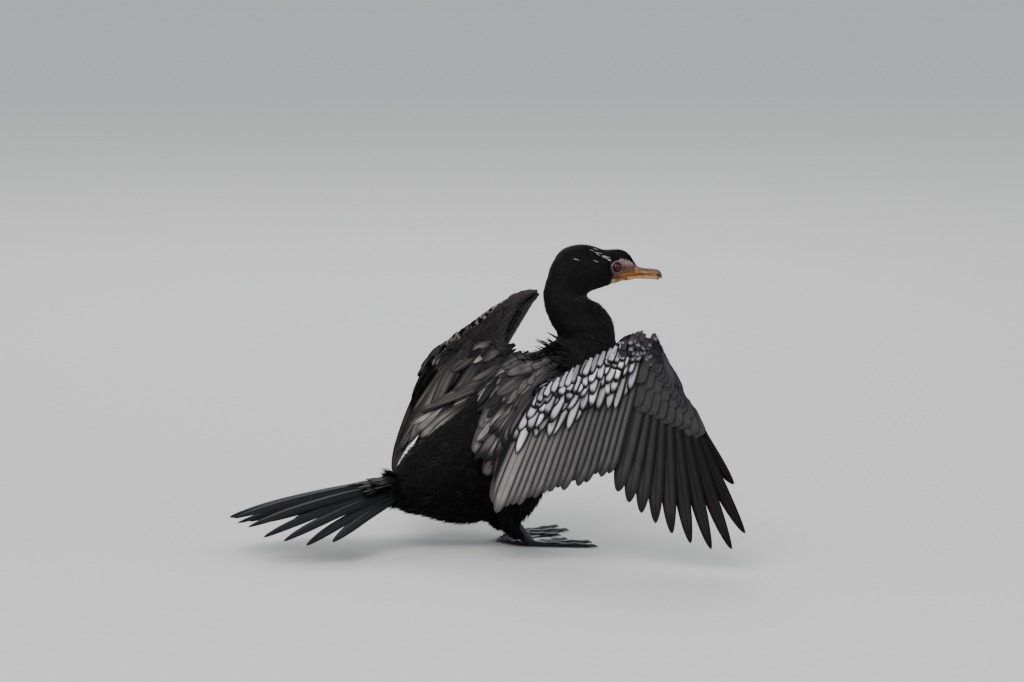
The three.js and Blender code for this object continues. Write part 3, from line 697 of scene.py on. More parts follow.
class Vanes:
    """Collects vanes and makes them one mesh."""

    def __init__(self, name, look, slot):
        self.name, self.look, self.slot = name, look, slot
        self.sheets = []

    def add(self, root, way, back, edge, length, width, paint, nu=24, nv=4, tip=0.6, power=2.2, base=0.4,
            roll=0.0, bow=0.03, sweep=0.0, camber=0.12, lead=1.0, shaft=0.5, slant=0.35, wave=0.0):
        flat = unit(edge - (edge @ way) * way)
        upright = back - (back @ way) * way
        upright = unit(upright - (upright @ flat) * flat)
        side = flat * math.cos(roll) + upright * math.sin(roll)
        up = upright * math.cos(roll) - flat * math.sin(roll)
        u = np.linspace(0, 1, nu + 1)
        v = np.linspace(-1, 1, 2 * nv + 1)
        wide = outline_width(u, tip, power, base)[:, None]
        share = np.where(v[None] < 0, wide, wide * lead)
        half = width / 2
        across = v[None] * share * half
        ahead = u[:, None] * length + slant * np.abs(across) * step(0, 0.15, u)[:, None]
        ripple = wave * np.sin(u * 9 + rng.uniform(0, 6))[:, None] * v[None]
        height = camber * half * (share - v[None] ** 2 * share) + ripple * half
        points = (root + way * ahead[..., None] + side * across[..., None] + up * height[..., None]
                  - upright * (bow * length * u**2)[:, None, None] + flat * (sweep * length * u**2)[:, None, None])
        along, aside = np.meshgrid(u, v, indexing="ij")
        colour = paint(along, aside, across)
        i, j = np.meshgrid(np.arange(nu), np.arange(2 * nv), indexing="ij")
        m = 2 * nv + 1
        faces = np.stack([i * m + j, i * m + j + 1, (i + 1) * m + j + 1, (i + 1) * m + j], -1).reshape(-1, 4)
        self.sheets.append((points.reshape(-1, 3), faces, colour.reshape(-1, 3),
                            np.stack([ahead, across], -1).reshape(-1, 2) / 1000,
                            np.stack([along, (aside + 1) / 2], -1).reshape(-1, 2)))
        if shaft:
            self.rachis(points[:, nv], up, side, length, width, shaft, colour[:, nv])

    def rachis(self, line, up, side, length, width, size, colour):
        n = len(line)
        radius = (size * np.linspace(1, 0.25, n))[:, None]
        top = line + up * radius * 1.15
        right, left = line + side * radius * 0.8 - up * 0.05, line - side * radius * 0.8 - up * 0.05
        points = np.stack([right, top, left], 1).reshape(-1, 3)
        i = np.arange(n - 1)[:, None]
        sides = [np.stack([i * 3 + j, i * 3 + j + 1, i * 3 + j + 4, i * 3 + j + 3], -1) for j in (0, 1)]
        faces = np.concatenate(sides, 1).reshape(-1, 4)
        dark = np.repeat(colour * 0.55, 3, 0)
        u = np.repeat(np.linspace(0, 1, n), 3)
        self.sheets.append((points, faces, dark, np.stack([u * length, u * 0], 1) / 1000,
                            np.stack([u, u * 0 + 0.5], 1)))

    def finish(self):
        cells = int(math.ceil(math.sqrt(len(self.sheets))))
        verts, faces, tints, vanes, bakes, base = [], [], [], [], [], 0
        for k, (p, f, c, vane, uv) in enumerate(self.sheets):
            corner = V(k % cells, k // cells)
            verts.append(p)
            faces.append(f + base)
            tints.append(c)
            vanes.append(vane)
            bakes.append((corner + 0.04 + 0.92 * uv) / cells)
            base += len(p)
        return make(self.name, np.vstack(verts), [np.vstack(faces)], self.look,
                    tint=np.clip(np.vstack(tints), 0, 1), vane=np.vstack(vanes), bake=np.vstack(bakes))


def arm_place(wing, s):
    if s < 0:
        return lerp(wing["elbow"], shoulder_of(wing), -s)
    return lerp(wing["elbow"], wing["wrist"], s) if s < 1 else lerp(wing["wrist"], wing["hand"], s - 1)


def lie(wing, s):
    way = unit(lerp(wing["inner"], wing["outer"], s))
    if s < 0:
        way = unit(lerp(wing["inner"], wing["shoulder"], -s))
    if s > 1:
        way = unit(lerp(wing["first"], wing["last"], s - 1 - wing["bend"] * math.sin(math.pi * (s - 1))))
    if s < 0:
        back = unit(lerp(wing["back_forearm"], wing["back_shoulder"], -s))
    else:
        back = unit(lerp(wing["back_forearm"], wing["back_hand"], min(max(s - 0.5, 0), 1)))
    return way, back, unit(np.cross(back, way) * -wing["side"])


def wing_vane(vanes, wing, s, length, width, paint, ahead=0, high=0, lift=0, under=False, **rest):
    way, back, edge = lie(wing, s)
    inner, outer, hand = wing["stack"]
    stack = lerp(inner, outer, max(s, 0)) if s < 1 else hand
    height = wing["rise"] * high + stack
    root = arm_place(wing, s) - way * ahead + back * height
    if under:
        root = arm_place(wing, s) - way * ahead - back * (wing["rise"] * high - stack)
        back = -back
    rest.setdefault("roll", math.radians(wing["roll"]) * (0 if under else 1))
    turned = -1 if under else 1
    curve, arch = wing["curve"] * step(0.8, 0.2, s), wing["arch"] * step(1.3, 0.6, s) * turned
    rest["sweep"] = rest.get("sweep", 0) + curve * length / 115
    rest["bow"] = 0.03 * turned + arch * length / 115
    vanes.add(root, unit(way + back * (lift + arch) - edge * curve), back, edge, length, width, paint, **rest)


def painter(middle, edge, tip, dark_edge=0.7, dark_tip=0.9, tone=1.0, root=0.0, spot=0.0, mottle=0.0):
    """Colour over a vane: its middle, its edges, its tip and the shade near its root."""
    middle, edge, tip = (np.asarray(c, float) for c in (middle, edge, tip))

    def paint(u, v, across):
        rim = step(dark_edge, min(dark_edge + 0.3, 1.2), np.abs(v))
        end = step(dark_tip - 0.10, dark_tip + 0.04, u + 0.12 * np.abs(v) ** 2)
        shade = middle * tone * (0.86 + 0.28 * u[..., None])
        if root:
            shade = shade * (0.12 + 0.88 * step(root - 0.18, root + 0.16, u))[..., None]
        if mottle:
            bands = np.interp(u[:, 0], np.linspace(0, 1, 6), rng.normal(0, 1, 6))
            streaks = rng.normal(0, 1, v.shape[1])
            shade = shade * np.clip(1 + mottle * (bands[:, None] + streaks[None]), 0.25, 2)[..., None]
        if spot:
            near = np.exp(-(((u - spot) / 0.16) ** 2) - (v / 0.55) ** 2)[..., None]
            shade = shade * (1 - near) + V(0.34, 0.33, 0.35) * near
        colour = shade * (1 - rim[..., None]) + edge * rim[..., None]
        colour = colour * (1 - end[..., None]) + tip * end[..., None]
        near_shaft = np.exp(-((across / 0.4) ** 2))[..., None]
        return colour * (1 - 0.3 * near_shaft)

    return paint


DARK = (0.0045, 0.0045, 0.005)


def wing_feathers(wing):
    side = side_name(wing)
    flight = Vanes(f"flight_{side}", WING_LOOK, "wing_feathers")
    jitter = lambda size: rng.normal(0, size)
    # painted shade on the far wing: its feathers are painted half as bright, its secondaries three quarters
    shade = 1.0 if wing["side"] < 0 else 0.5
    for k in range(10):
        share = k / 9
        s = lerp(1.1, 1.97, share)
        late = max(0, (share - 0.66) / 0.34)
        length = 131 + 22 * share - 70 * late**3.4 + 3 * math.exp(-(((share - 0.6) / 0.16) ** 2))
        grey = lerp(V(0.040, 0.0375, 0.0375), V(0.0045, 0.0034, 0.003), share**0.85) * shade
        wing_vane(flight, wing, s, length, 19 - 3 * share,
                  painter(grey, DARK, grey * 0.5, 0.5, 0.93, 1 + jitter(0.06)),
                  nu=48, nv=5, tip=0.70 - 0.12 * share, power=1.8, sweep=0.05 * share,
                  lead=1 - 0.4 * share, shaft=0.6, camber=0.12)
    for k in range(16):
        share = (k + 0.5) / 16
        s = lerp(0.02, 0.98, share)
        grey = lerp(V(0.135, 0.125, 0.125), V(0.058, 0.055, 0.056), step(0, 0.8, share)) * lerp(shade, 1, 0.5)
        length = 115 + 3 * share + jitter(2.2)
        wing_vane(flight, wing, s, length, 13.5,
                  painter(grey * 1.25, grey * 0.2, grey * 0.5, 0.55, 0.97, 1 + jitter(0.1)),
                  nu=40, nv=5, tip=0.8, power=1.7, shaft=0.45, camber=0.16,
                  roll=math.radians(wing["roll"]) + jitter(0.03))
    for k in range(6 if wing["side"] < 0 else 9):
        s = -0.08 * (k + 0.5)
        loss = 5.5 if wing["side"] < 0 else -1
        warm = V(0.19, 0.17, 0.17) if wing["side"] < 0 else V(0.17, 0.15, 0.143)
        wing_vane(flight, wing, s, 110 - loss * k + jitter(3), 15,
                  painter(warm, DARK, warm * 0.3, 0.42, 0.95, 1 + jitter(0.12)),
                  nu=36, nv=5, tip=0.7, power=1.8, shaft=0.45, camber=0.16)
    flight.finish()

    coverts = Vanes(f"coverts_{side}", WING_LOOK, "wing_feathers")
    silver, pale = V(0.66, 0.655, 0.68), V(0.50, 0.49, 0.50)
    ruffled = 0.10 if wing["side"] > 0 else 0.0
    # how many, from and to along the arm, set ahead, height, lift, length, width, colour, dark tip
    tiers = [
        (19, -0.56, 0.97, 0, 1.7, 0.03, 52, 10.5, pale, 0.95),
        (20, -0.53, 0.97, 0, 2.4, 0.06, 40, 9.6, silver, 0.90),
        (21, -0.50, 0.98, 1, 3.1, 0.09, 30, 9.2, silver, 0.87),
        (22, -0.45, 1.00, 2, 3.7, 0.12, 21, 8.4, silver, 0.85),
        (24, -0.40, 1.03, 4, 4.1, 0.16, 14.5, 7, silver * 0.75, 0.82),
    ]
    for row, (count, start, stop, ahead, high, lift, length, width, colour, end) in enumerate(tiers):
        for k in range(count):
            s = lerp(start, stop, (k + 0.5 * (row % 2) + 0.5 * rng.random()) / count)
            if wing["side"] > 0 and s < -0.12:
                continue
            bright = lerp(1.0, 0.42, step(0.8, 1.0, s)) * lerp(1, 0.75, step(0, -0.5, s)) * (1 + jitter(0.26))
            bulge = max(0, row - 1) * 2.4 * max(0, math.sin(math.pi * np.clip(s, 0, 1))) * (wing["side"] < 0)
            wing_vane(coverts, wing, s, (length + 0.6 * bulge) * (1 + jitter(0.07)), width,
                      painter(colour * np.clip(bright, 0.2, 1.3), DARK, DARK, 0.36, end + jitter(0.03), mottle=0.1),
                      ahead=ahead + bulge, high=high, lift=lift + ruffled * (row > 1) + jitter(0.03),
                      nu=16, nv=4, tip=0.58, power=1.9, base=0.6, shaft=0.2, camber=0.12, slant=0.5, sweep=jitter(0.05))
    # the smooth dark feathers over the hand
    for count, start, stop, ahead, high, lift, first, last, width, tone in [
        (9, 1.06, 1.93, 0, 1.5, 0.03, 56, 34, 17, 0.040), (7, 1.00, 1.82, 0, 2.2, 0.04, 37, 24, 18, 0.038),
    ]:
        for k in range(count):
            s = lerp(start, stop, k / (count - 1))
            # painted shade: the far wing's hand feathers are painted 0.6 as bright
            colour = V(1, 0.95, 0.96) * tone * (0.6 if wing["side"] > 0 else 1)
            wing_vane(coverts, wing, s, lerp(first, last, k / (count - 1)) * (1 + jitter(0.03)), width,
                      painter(colour, colour * 0.93, colour * 0.9, 0.88, 0.985, 1 + jitter(0.02)),
                      ahead=ahead, high=high, lift=lift, nu=16, nv=4, tip=0.75, power=2.4, base=0.6, shaft=0.12,
                      camber=0.03, slant=0.3)
    for row in range(2):
        for k in range(13):
            s = lerp(0.96 if wing["side"] < 0 else 1.2, 1.9, (k + 0.5 * (row % 2)) / 13)
            rim = V(0.027, 0.025, 0.028)
            spot = 0.72 if s < 1.2 and wing["side"] < 0 else 0
            wing_vane(coverts, wing, s, 14 - 2 * row, 6.4,
                      painter(V(0.036, 0.033, 0.037), rim, rim, 0.8, 0.97, 1 + jitter(0.05), spot=spot),
                      ahead=1 + 2.4 * row, high=3.3 + 0.5 * row, lift=0.13 + 0.04 * row + jitter(0.02), nu=12, nv=3,
                      tip=0.6, power=2, base=0.6, shaft=0.15, camber=0.12, slant=0.4)
    for k in range(4):
        way, back, edge = lie(wing, 1.9)
        s = 1.06 + 0.10 * k
        root = arm_place(wing, s) + edge * 2.5 + back * 2.6
        aimed = unit(lerp(way, unit(wing["hand"] - wing["wrist"]), 0.45) + back * (0.07 - 0.02 * k))
        coverts.add(root, aimed, back, edge, 46 - 4 * k, 14,
                    painter(V(0.042, 0.038, 0.041) * shade, DARK, DARK, 0.85, 0.96),
                    nu=18, nv=4, tip=0.6, power=1.9, shaft=0.25, camber=0.1)
    # small feathers all round the bend of the wing
    spread = wing["sizes"][4] * 1.02
    for _ in range(190 if wing["side"] < 0 else 0):
        way, back, edge = lie(wing, 1.05)
        turn = rng.uniform(-2.2, 2.2)
        rise = rng.uniform(-0.9, 0.95)
        out = unit(back * math.cos(turn) + edge * math.sin(turn) - way * rise)
        heading = way + back * 0.8 * max(0, -(way @ out))
        flat = heading - (heading @ out) * out
        aim = unit(flat + 0.06 * rng.normal(0, 1, 3))
        tone = V(0.040, 0.034, 0.042) * (1 + jitter(0.15))
        spot = 0.7 if math.cos(turn) > 0 and rng.random() < 0.6 else 0
        inward = rng.random() ** 1.5
        root = arm_place(wing, 1 - 0.2 * inward) + out * spread * (1 + 0.25 * math.sin(math.pi * inward)) - aim * 3
        coverts.add(root, unit(aim + out * 0.03), out, np.cross(out, aim), 9.5 + jitter(0.8), 5.4,
                    painter(tone, DARK, DARK, 0.7, 0.93, spot=spot), nu=10, nv=2, tip=0.55, power=1.9, base=0.6,
                    shaft=0.12, camber=0.12, slant=0.4)
    coverts.finish()

    lining = Vanes(f"lining_{side}", WING_LOOK, "wing_feathers")
    grey = V(0.030, 0.0285, 0.030)
    for count, start, stop, ahead, high, lift, length, width in [
        (14, -0.30, 0.97, 0, 1.3, 0.02, 52, 13), (14, -0.30, 0.97, 0, 2.1, 0.05, 36, 12),
        (15, -0.30, 0.98, 1, 2.8, 0.08, 24, 11), (16, -0.30, 1.0, 3, 3.3, 0.12, 16, 9),
        (9, 1.10, 1.93, 0, 1.2, 0.03, 48, 12), (10, 1.05, 1.93, 1, 2.0, 0.06, 30, 11),
        (11, 1.0, 1.93, 2, 2.5, 0.1, 19, 9),
    ]:
        for k in range(count):
            s = lerp(start, stop, k / (count - 1))
            light = wing["side"] > 0 and s < 0.35 and rng.random() < 0.3
            tone = V(0.22, 0.195, 0.19) if light else grey
            wing_vane(lining, wing, s, length * (1 + jitter(0.05)), width,
                      painter(tone, grey * 0.5, grey * 0.6, 0.8, 0.95, 1 + jitter(0.08)),
                      ahead=ahead, high=high, lift=lift, under=True, nu=12, nv=3, tip=0.72, power=2.4, base=0.6,
                      shaft=0.2, camber=0.15, slant=0.3)
    lining.finish()


wing_feathers(RIGHT)
wing_feathers(LEFT)


def arm_coat(wing):
    """Small close feathers all round the arm and over the fold of skin ahead of it."""
    side = side_name(wing)
    roots, normals, flows, lengths, widths, colours = [], [], [], [], [], []
    stops = np.arange(-0.92, 2.02, 0.016)
    for s in stops:
        way, back, edge = lie(wing, s)
        at = arm_place(wing, s)
        axis = unit(arm_place(wing, s + 0.01) - at)
        a = unit(back - (back @ axis) * axis)
        b = np.cross(axis, a)
        size = float(np.interp(s, [-1, -0.5, 0, 0.5, 1, 1.5, 2], wing["sizes"])) - 0.8
        count = int(6 + size * 2.6)
        for k in range(count):
            turn = 2 * np.pi * (k + rng.random()) / count
            n = a * math.cos(turn) * wing["flat"] + b * math.sin(turn)
            roots.append(at + n * size)
            normals.append(unit(n))
            flows.append(way + 0.12 * rng.normal(0, 1, 3))
            lengths.append(float(np.interp(size, [2, 7], [5, 7.5])) * (1 + 0.15 * rng.normal()))
            widths.append(3.4)
            dorsal = math.cos(turn)
            chance = 0.2 if wing["side"] < 0 and 0.05 < s < 0.93 else 0
            pale = dorsal > 0.35 and rng.random() < chance
            base = V(0.36, 0.35, 0.37) if pale else V(0.026, 0.025, 0.027)
            colours.append(base * (1 + 0.2 * rng.normal()))
    across = unit(np.cross(wing["elbow"] - shoulder_of(wing), wing["wrist"] - shoulder_of(wing)))
    across = across * np.sign(across[2])
    for _ in range(4200):
        rim = fold_rim(wing, rng.random())
        at = lerp(wing["elbow"], rim, math.sqrt(rng.random()) * 1.01)
        face = 1 if rng.random() < 0.5 else -1
        roots.append(at + across * face * 2.0)
        normals.append(across * face)
        flows.append(unit(V(-0.6, 0, -0.7)) + 0.12 * rng.normal(0, 1, 3))
        lengths.append(8.5 * (1 + 0.15 * rng.normal()))
        widths.append(4)
        pale = face > 0 and wing["side"] < 0 and rng.random() < 0.06
        base = V(0.12, 0.115, 0.12) if pale else V(0.021, 0.0205, 0.022)
        colours.append(base * (1 + 0.2 * rng.normal()))
    n = len(roots)
    tufts(f"coat_arm_{side}", np.array(roots), unit(np.array(normals)), np.array(flows), np.array(lengths),
          np.array(widths), np.full(n, 0.12), np.clip(np.array(colours), 0.005, 1))


arm_coat(RIGHT)
arm_coat(LEFT)


def scapulars(wing):
    """The long feathers of the shoulder, in three rows that lie over the back's side."""
    side = side_name(wing)
    vanes = Vanes(f"scapulars_{side}", WING_LOOK, "wing_feathers")
    rows = [
        (9, -0.97, -0.36, -1, 2.6, 0.02, 106, 82, 17), (9, -0.98, -0.42, 0, 3.8, 0.06, 80, 60, 16),
        (8, -0.98, -0.48, 2, 4.8, 0.10, 56, 44, 15), (8, -0.98, -0.5, 4, 5.4, 0.14, 36, 30, 13),
    ]
    for row, (count, start, stop, ahead, high, lift, long, short, width) in enumerate(rows):
        for k in range(count):
            share = (k + 0.4 * (row % 2)) / count
            s = lerp(start, stop, share)
            pink = V(0.10, 0.088, 0.088) * (1 + rng.normal(0, 0.12)) * (1 - 0.12 * row)
            wing_vane(vanes, wing, s, lerp(long, short, share) * (1 + rng.normal(0, 0.05)), width,
                      painter(pink, pink * 0.3, DARK, 0.45, 0.92, 1, root=0.35, mottle=0.25),
                      ahead=ahead, high=high, lift=lift + rng.normal(0, 0.03),
                      nu=26, nv=4, tip=0.55, power=1.7, base=0.5, shaft=0.35, camber=0.12, sweep=rng.normal(0, 0.03),
                      wave=0.05, roll=math.radians(8) + rng.normal(0, 0.08))
    vanes.finish()


scapulars(RIGHT)
scapulars(LEFT)


def on_plane(px, py, point, way):
    """Where the line of sight through a pixel meets a plane."""
    seen = CAMERA_RIGHT * ((px - 507) * PIXEL) + CAMERA_UP * ((542 - py) * PIXEL)
    start = CAMERA_AIM + CAMERA_BACK * CAMERA_FAR
    ray = unit(seen - start)
    return start + ray * (((point - start) @ way) / (ray @ way))


def on_skin(px, py):
    """The skin's point and normal that the photo shows at a pixel."""
    start = CAMERA_AIM + CAMERA_BACK * CAMERA_FAR
    ray = unit(on_plane(px, py, V(0, 0, 0), CAMERA_BACK) - start)
    hit, at, normal, _ = skin.ray_cast(((start + SHIFT) / 1000).tolist(), ray.tolist())
    return (np.array(at) * 1000 - SHIFT, np.array(normal)) if hit else (None, None)


def draped(vanes, root, end_pixel, width, colour, high, face=0.7, lift=0.03, **rest):
    """A feather rooted on the skin under one pixel, with its tip at another."""
    for grow in (1, 1.25, 1.5, 1.8, 2.2, 2.6):
        at, normal = on_skin(*(end_pixel[i] + grow * (root[i] - end_pixel[i]) for i in (0, 1)))
        if at is not None:
            break
    if at is None:
        return
    back = unit(normal + face * CAMERA_BACK)
    while back @ CAMERA_BACK < 0.7:
        back = unit(back + 0.2 * CAMERA_BACK)
    at = at + normal * high
    end = on_plane(*end_pixel, at, back)
    way = unit(end - at)
    length = np.linalg.norm(end - at)
    if length > 120 or (grow > 1.3 and end_pixel[1] < 375):
        return
    root_at = at - way * 0.12 * length - back * 1.2
    vanes.add(root_at, unit(way + back * lift), back, np.cross(back, way), length * 1.12, width * 1.12,
              painter(colour, colour * 0.25, colour * 0.3, 0.5, 0.97, 1 + rng.normal(0, 0.1),
                      root=0.3, mottle=0.22), **rest)


# Rows of shoulder feathers: pixel of the root, pixel of the tip, width in millimetres, grey tone
FAR_ROWS = [
    ((466, 398), (414, 430), 17, 0.17), ((462, 408), (421, 438), 14, 0.12), ((452, 398), (419, 413), 12, 0.10),
    ((447, 382), (428, 399), 12, 0.20), ((461, 381), (441, 395), 11, 0.19), ((470, 389), (447, 405), 11, 0.06),
    ((464, 361), (440, 381), 12, 0.15), ((475, 366), (452, 384), 11, 0.07), ((480, 385), (465, 395), 9, 0.19),
    ((489, 371), (472, 378), 10, 0.15), ((478, 354), (450, 371), 11, 0.05), ((492, 377), (470, 388), 10, 0.04),
    ((496, 346), (464, 357), 12, 0.17), ((500, 360), (474, 371), 11, 0.05), ((508, 368), (484, 378), 10, 0.04),
    ((510, 350), (482, 359), 11, 0.07), ((518, 358), (494, 367), 10, 0.04), ((515, 343), (487, 350), 10, 0.05),
    ((446, 400), (398, 466), 16, 0.10), ((441, 392), (401, 458), 15, 0.08), ((449, 402), (410, 450), 14, 0.05),
    ((436, 408), (394, 474), 14, 0.06), ((440, 418), (400, 477), 14, 0.05), ((456, 405), (418, 442), 14, 0.035),
    ((446, 384), (405, 440), 14, 0.12), ((440, 375), (408, 422), 12, 0.10),
]
NEAR_ROWS = [
    ((507, 440), (483, 474), 15, 0.16), ((499, 410), (475, 454), 15, 0.17), ((516, 430), (493, 478), 13, 0.12),
    ((514, 408), (494, 442), 13, 0.09), ((504, 398), (481, 430), 13, 0.11), ((524, 408), (508, 452), 13, 0.09),
    ((505, 394), (486, 418), 13, 0.06), ((517, 396), (498, 420), 12, 0.07), ((526, 398), (509, 428), 13, 0.06),
    ((510, 384), (491, 400), 12, 0.06), ((522, 384), (503, 404), 13, 0.07), ((506, 379), (493, 392), 12, 0.13),
    ((532, 386), (515, 410), 12, 0.06), ((530, 377), (497, 396), 12, 0.08), ((541, 378), (520, 398), 12, 0.08),
    ((541, 366), (506, 374), 11, 0.11), ((551, 371), (527, 385), 11, 0.10), ((556, 362), (532, 370), 10, 0.08),
]


# The fine streaks' pixels: corner and size of the box of their roots, way to their tips
STREAKS = {
    "left": (V(462, 352), V(74, 34), V(-24, 10)),
    "right": (V(496, 378), V(44, 56), V(-17, 19)),
}
MANTLE_CORNER, MANTLE_SIZE = (506, 341), (66, 26)  # pixels of the loose feathers behind the neck

# The outline of the half-closed wing's arm in the photo, and the line where it meets the fan
ARM_EDGE = [(535, 288), (514, 293.5), (487, 309), (466, 324), (446, 339), (431, 362), (422, 386)]
ARM_REAR = [(536, 296), (525, 303), (514, 320), (495, 340), (470, 356), (450, 372), (438, 392)]


def cloak(vanes, warm):
    """Small smooth feathers under the half-closed wing, silver ones along its upper edge."""
    elbow, wrist, hand = LEFT["elbow"], LEFT["wrist"], LEFT["hand"]
    out = unit(np.cross(hand - elbow, wrist - elbow))
    out = out * np.sign(out @ CAMERA_BACK)
    edge, rear = spline(ARM_EDGE, 60), spline(ARM_REAR, 60)
    for k in range(460):
        i = int(60 * (k + rng.random()) / 461)
        share = rng.random() * (1 if k % 3 else 0.16)
        along = unit(edge[i + 1] - edge[i])
        inner = unit(rear[i] - edge[i])
        spot = lerp(edge[i] + inner * 3.0, rear[i] - inner * 2, share)
        flat = on_plane(*spot, elbow + out * 3.2, out)
        at, _ = on_skin(*spot)
        if at is not None and 0 < (at - flat) @ out < 14:
            flat = at + out * 1.4
        way = unit(on_plane(*(spot + along * 10 + inner * rng.normal(0, 0.8)), flat, out) - flat)
        marked = share < 0.16 and i > 12
        tone = rng.choice([0.5, 0.3, 0.01, 0.03]) if marked else 0.09 * rng.uniform(0.9, 1.1)
        length, width = (9.5, 4.6) if marked else (14, 6.8)
        vanes.add(flat - way * 2, unit(way + out * 0.09), out, np.cross(out, way), length, width,
                  painter(warm * tone, warm * tone * 0.6, warm * tone * 0.5, 0.75, 0.93), nu=12, nv=3, tip=0.5,
                  power=1.7, base=0.5, shaft=0.12, camber=0.08)


def drapes():
    for name, rows, warm in (("left", FAR_ROWS, V(1.06, 0.95, 0.93)), ("right", NEAR_ROWS, V(1.05, 0.95, 0.96))):
        vanes = Vanes(f"drape_{name}", WING_LOOK, "wing_feathers")
        for order, (root, tip, width, grey) in enumerate(rows):
            shape = dict(nu=22, nv=4, tip=0.45, power=1.5, base=0.3, shaft=0.25, camber=0.12, slant=0.6,
                         face=0.7 if name == "left" else 0.35, lift=0.03 if name == "left" else 0.1)
            for _ in range(2):
                moved = rng.normal(0, 3.5, 2) + (2, -1)
                low = (root[0] + moved[0], root[1] + moved[1]), (tip[0] + moved[0], tip[1] + moved[1])
                draped(vanes, *low, width * 0.7, warm * grey * rng.uniform(0.4, 1.0), 1.2 + 0.25 * order,
                       sweep=rng.normal(0, 0.06), **shape)
            draped(vanes, root, tip, width * 1.05, warm * grey * 0.95, 1.5 + 0.25 * order,
                   sweep=rng.normal(0, 0.04), **shape)
        for _ in range(60):
            corner, size, way = STREAKS[name]
            spot = corner + rng.random(2) * size
            end = spot + way * rng.uniform(0.8, 1.2)
            tone = warm * rng.choice([0.16, 0.09, 0.03, 0.012, 0.012])
            draped(vanes, spot, end, 6.5, tone, rng.uniform(3, 7), **shape)
        if name == "left":
            cloak(vanes, warm)
        vanes.finish()


def ragged_mantle():
    """Loose black feathers that stand off behind the neck."""
    vanes = Vanes("mantle_vanes", WING_LOOK, "plumage")
    for _ in range(170):
        px, py = (corner + size * rng.random() for corner, size in zip(MANTLE_CORNER, MANTLE_SIZE))
        at, normal = on_skin(px, py)
        if at is None:
            continue
        way = unit(V(-0.8, 0.25 * rng.normal(), 0.12 + 0.3 * rng.normal()) + normal * 0.3)
        vanes.add(at - way * 2, way, normal, np.cross(normal, way), 15 + 6 * rng.random(), 2.6,
                  painter(BLACK * 1.5, BLACK, BLACK, 0.6, 0.9),
                  nu=8, nv=1, tip=0.25, power=1.2, base=0.6, shaft=0)
    vanes.finish()


def flecks():
    """Thin white plumes behind the eye and a few on the side of the head."""
    vanes = Vanes("head_flecks", WING_LOOK, "plumage")
    spots = [(596 + 16.5 * t + rng.normal(0, 1.3), 252 + 9 * t + rng.normal(0, 1.2)) for t in rng.random(20)]
    spots += [(577, 260), (598, 262.3), (579, 260.6), (596.5, 262)]
    for px, py in spots:
        at, normal = on_skin(px, py)
        for side in (1, -1):
            flip = V(1, side, 1)
            root, out = at * flip, normal * flip
            way = V(-0.9, 0, 0.36) + 0.08 * rng.normal(0, 1, 3)
            way = unit(way - (way @ out) * out)
            vanes.add(root + out * 0.9, unit(way + out * 0.08), out, np.cross(out, way), 3.4 + 1.6 * rng.random(), 0.55,
                      painter(V(0.5, 0.5, 0.5), V(0.3, 0.3, 0.3), V(0.4, 0.4, 0.4)), nu=6, nv=1, tip=0.3, power=1.5,
                      base=0.5, shaft=0)
    vanes.finish()


bpy.context.view_layer.update()
flecks()
drapes()
ragged_mantle()


def tail_feathers():
    vanes = Vanes("tail_vanes", TAIL_LOOK, "tail_feathers")
    for side in (1, -1):
        for k in range(6):
            share = (k + 0.5) / 6
            turn = math.radians(34 * share + rng.normal(0, 0.9))
            way = unit(V(-math.cos(turn), side * math.sin(turn), -0.05 - 0.20 * share + rng.normal(0, 0.008)))
            root = V(-108 + 4 * share, side * 14 * share, 63 - 13 * share)
            length = 152 * lerp(1, 0.56, share**2.2)
            vanes.add(root, way, V(0, 0, 1), V(0, -side, 0), length, 11.5,
                      painter(V(0.0062, 0.0064, 0.0078), DARK, DARK, 0.6, 0.97, 1 + rng.normal(0, 0.1)),
                      nu=46, nv=5, tip=0.66, power=1.7, roll=-side * math.radians(24), bow=0.085,
                      shaft=0.7, camber=0.32)
    # coverts above and below the root: how many, height, slope, length, side that shows
    coverts = [(13, 64, -0.04, 34, 1), (11, 65.5, 0.0, 24, 1), (13, 47, -0.16, 34, -1), (11, 46, -0.2, 24, -1)]
    for row, (count, high, slope, length, face) in enumerate(coverts):
        for k in range(count):
            place = (k / (count - 1) * 2 - 1) * 2
            turn = 0.17 * place
            way = unit(V(-math.cos(turn), math.sin(turn), slope - 0.032 * place**2))
            root = V(-108 + row % 2, 4.4 * place, high - 0.64 * place**2 * (1 if face > 0 else -0.3))
            vanes.add(root, way, V(0, 0, face), V(0, -1 if place > 0 else 1, 0), length * (1 + rng.normal(0, 0.12)), 8,
                      painter(BLACK * 0.5, BLACK * 0.4, BLACK * 0.4, 0.7, 0.95), nu=16, nv=3, tip=0.3, power=1.4,
                      roll=math.radians(6), shaft=0, wave=0.1)
    piece = vanes.finish()
    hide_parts("tail")


tail_feathers()


def tail_core():
    rows = [[-102, 66, 45, 13], [-112, 65, 44, 14], [-122, 61, 44, 12], [-130, 56, 46, 7]]
    verts, quads, tris = barrel(rows, 12, 24, -1)
    piece = make("tail_root", verts, [quads, tris], SKIN_LOOK, tint=np.tile(BLACK, (len(verts), 1)))
    points, normals = read(piece)
    pick = rng.integers(0, len(points), 1500)
    p, n = points[pick], unit(normals[pick])
    p = p + rng.normal(0, 0.8, p.shape)
    colour = BLACK * (1 + 0.3 * rng.normal(0, 1, (len(p), 1))).clip(0.4, 2)
    flow = np.tile(V(-1, 0, -0.15), (len(p), 1))
    length, width, lift = (np.full(len(p), size) for size in (15.0, 4.5, 0.14))
    tufts("coat_tail", p, n, flow, length, width, lift, colour)


tail_core()


# Bill


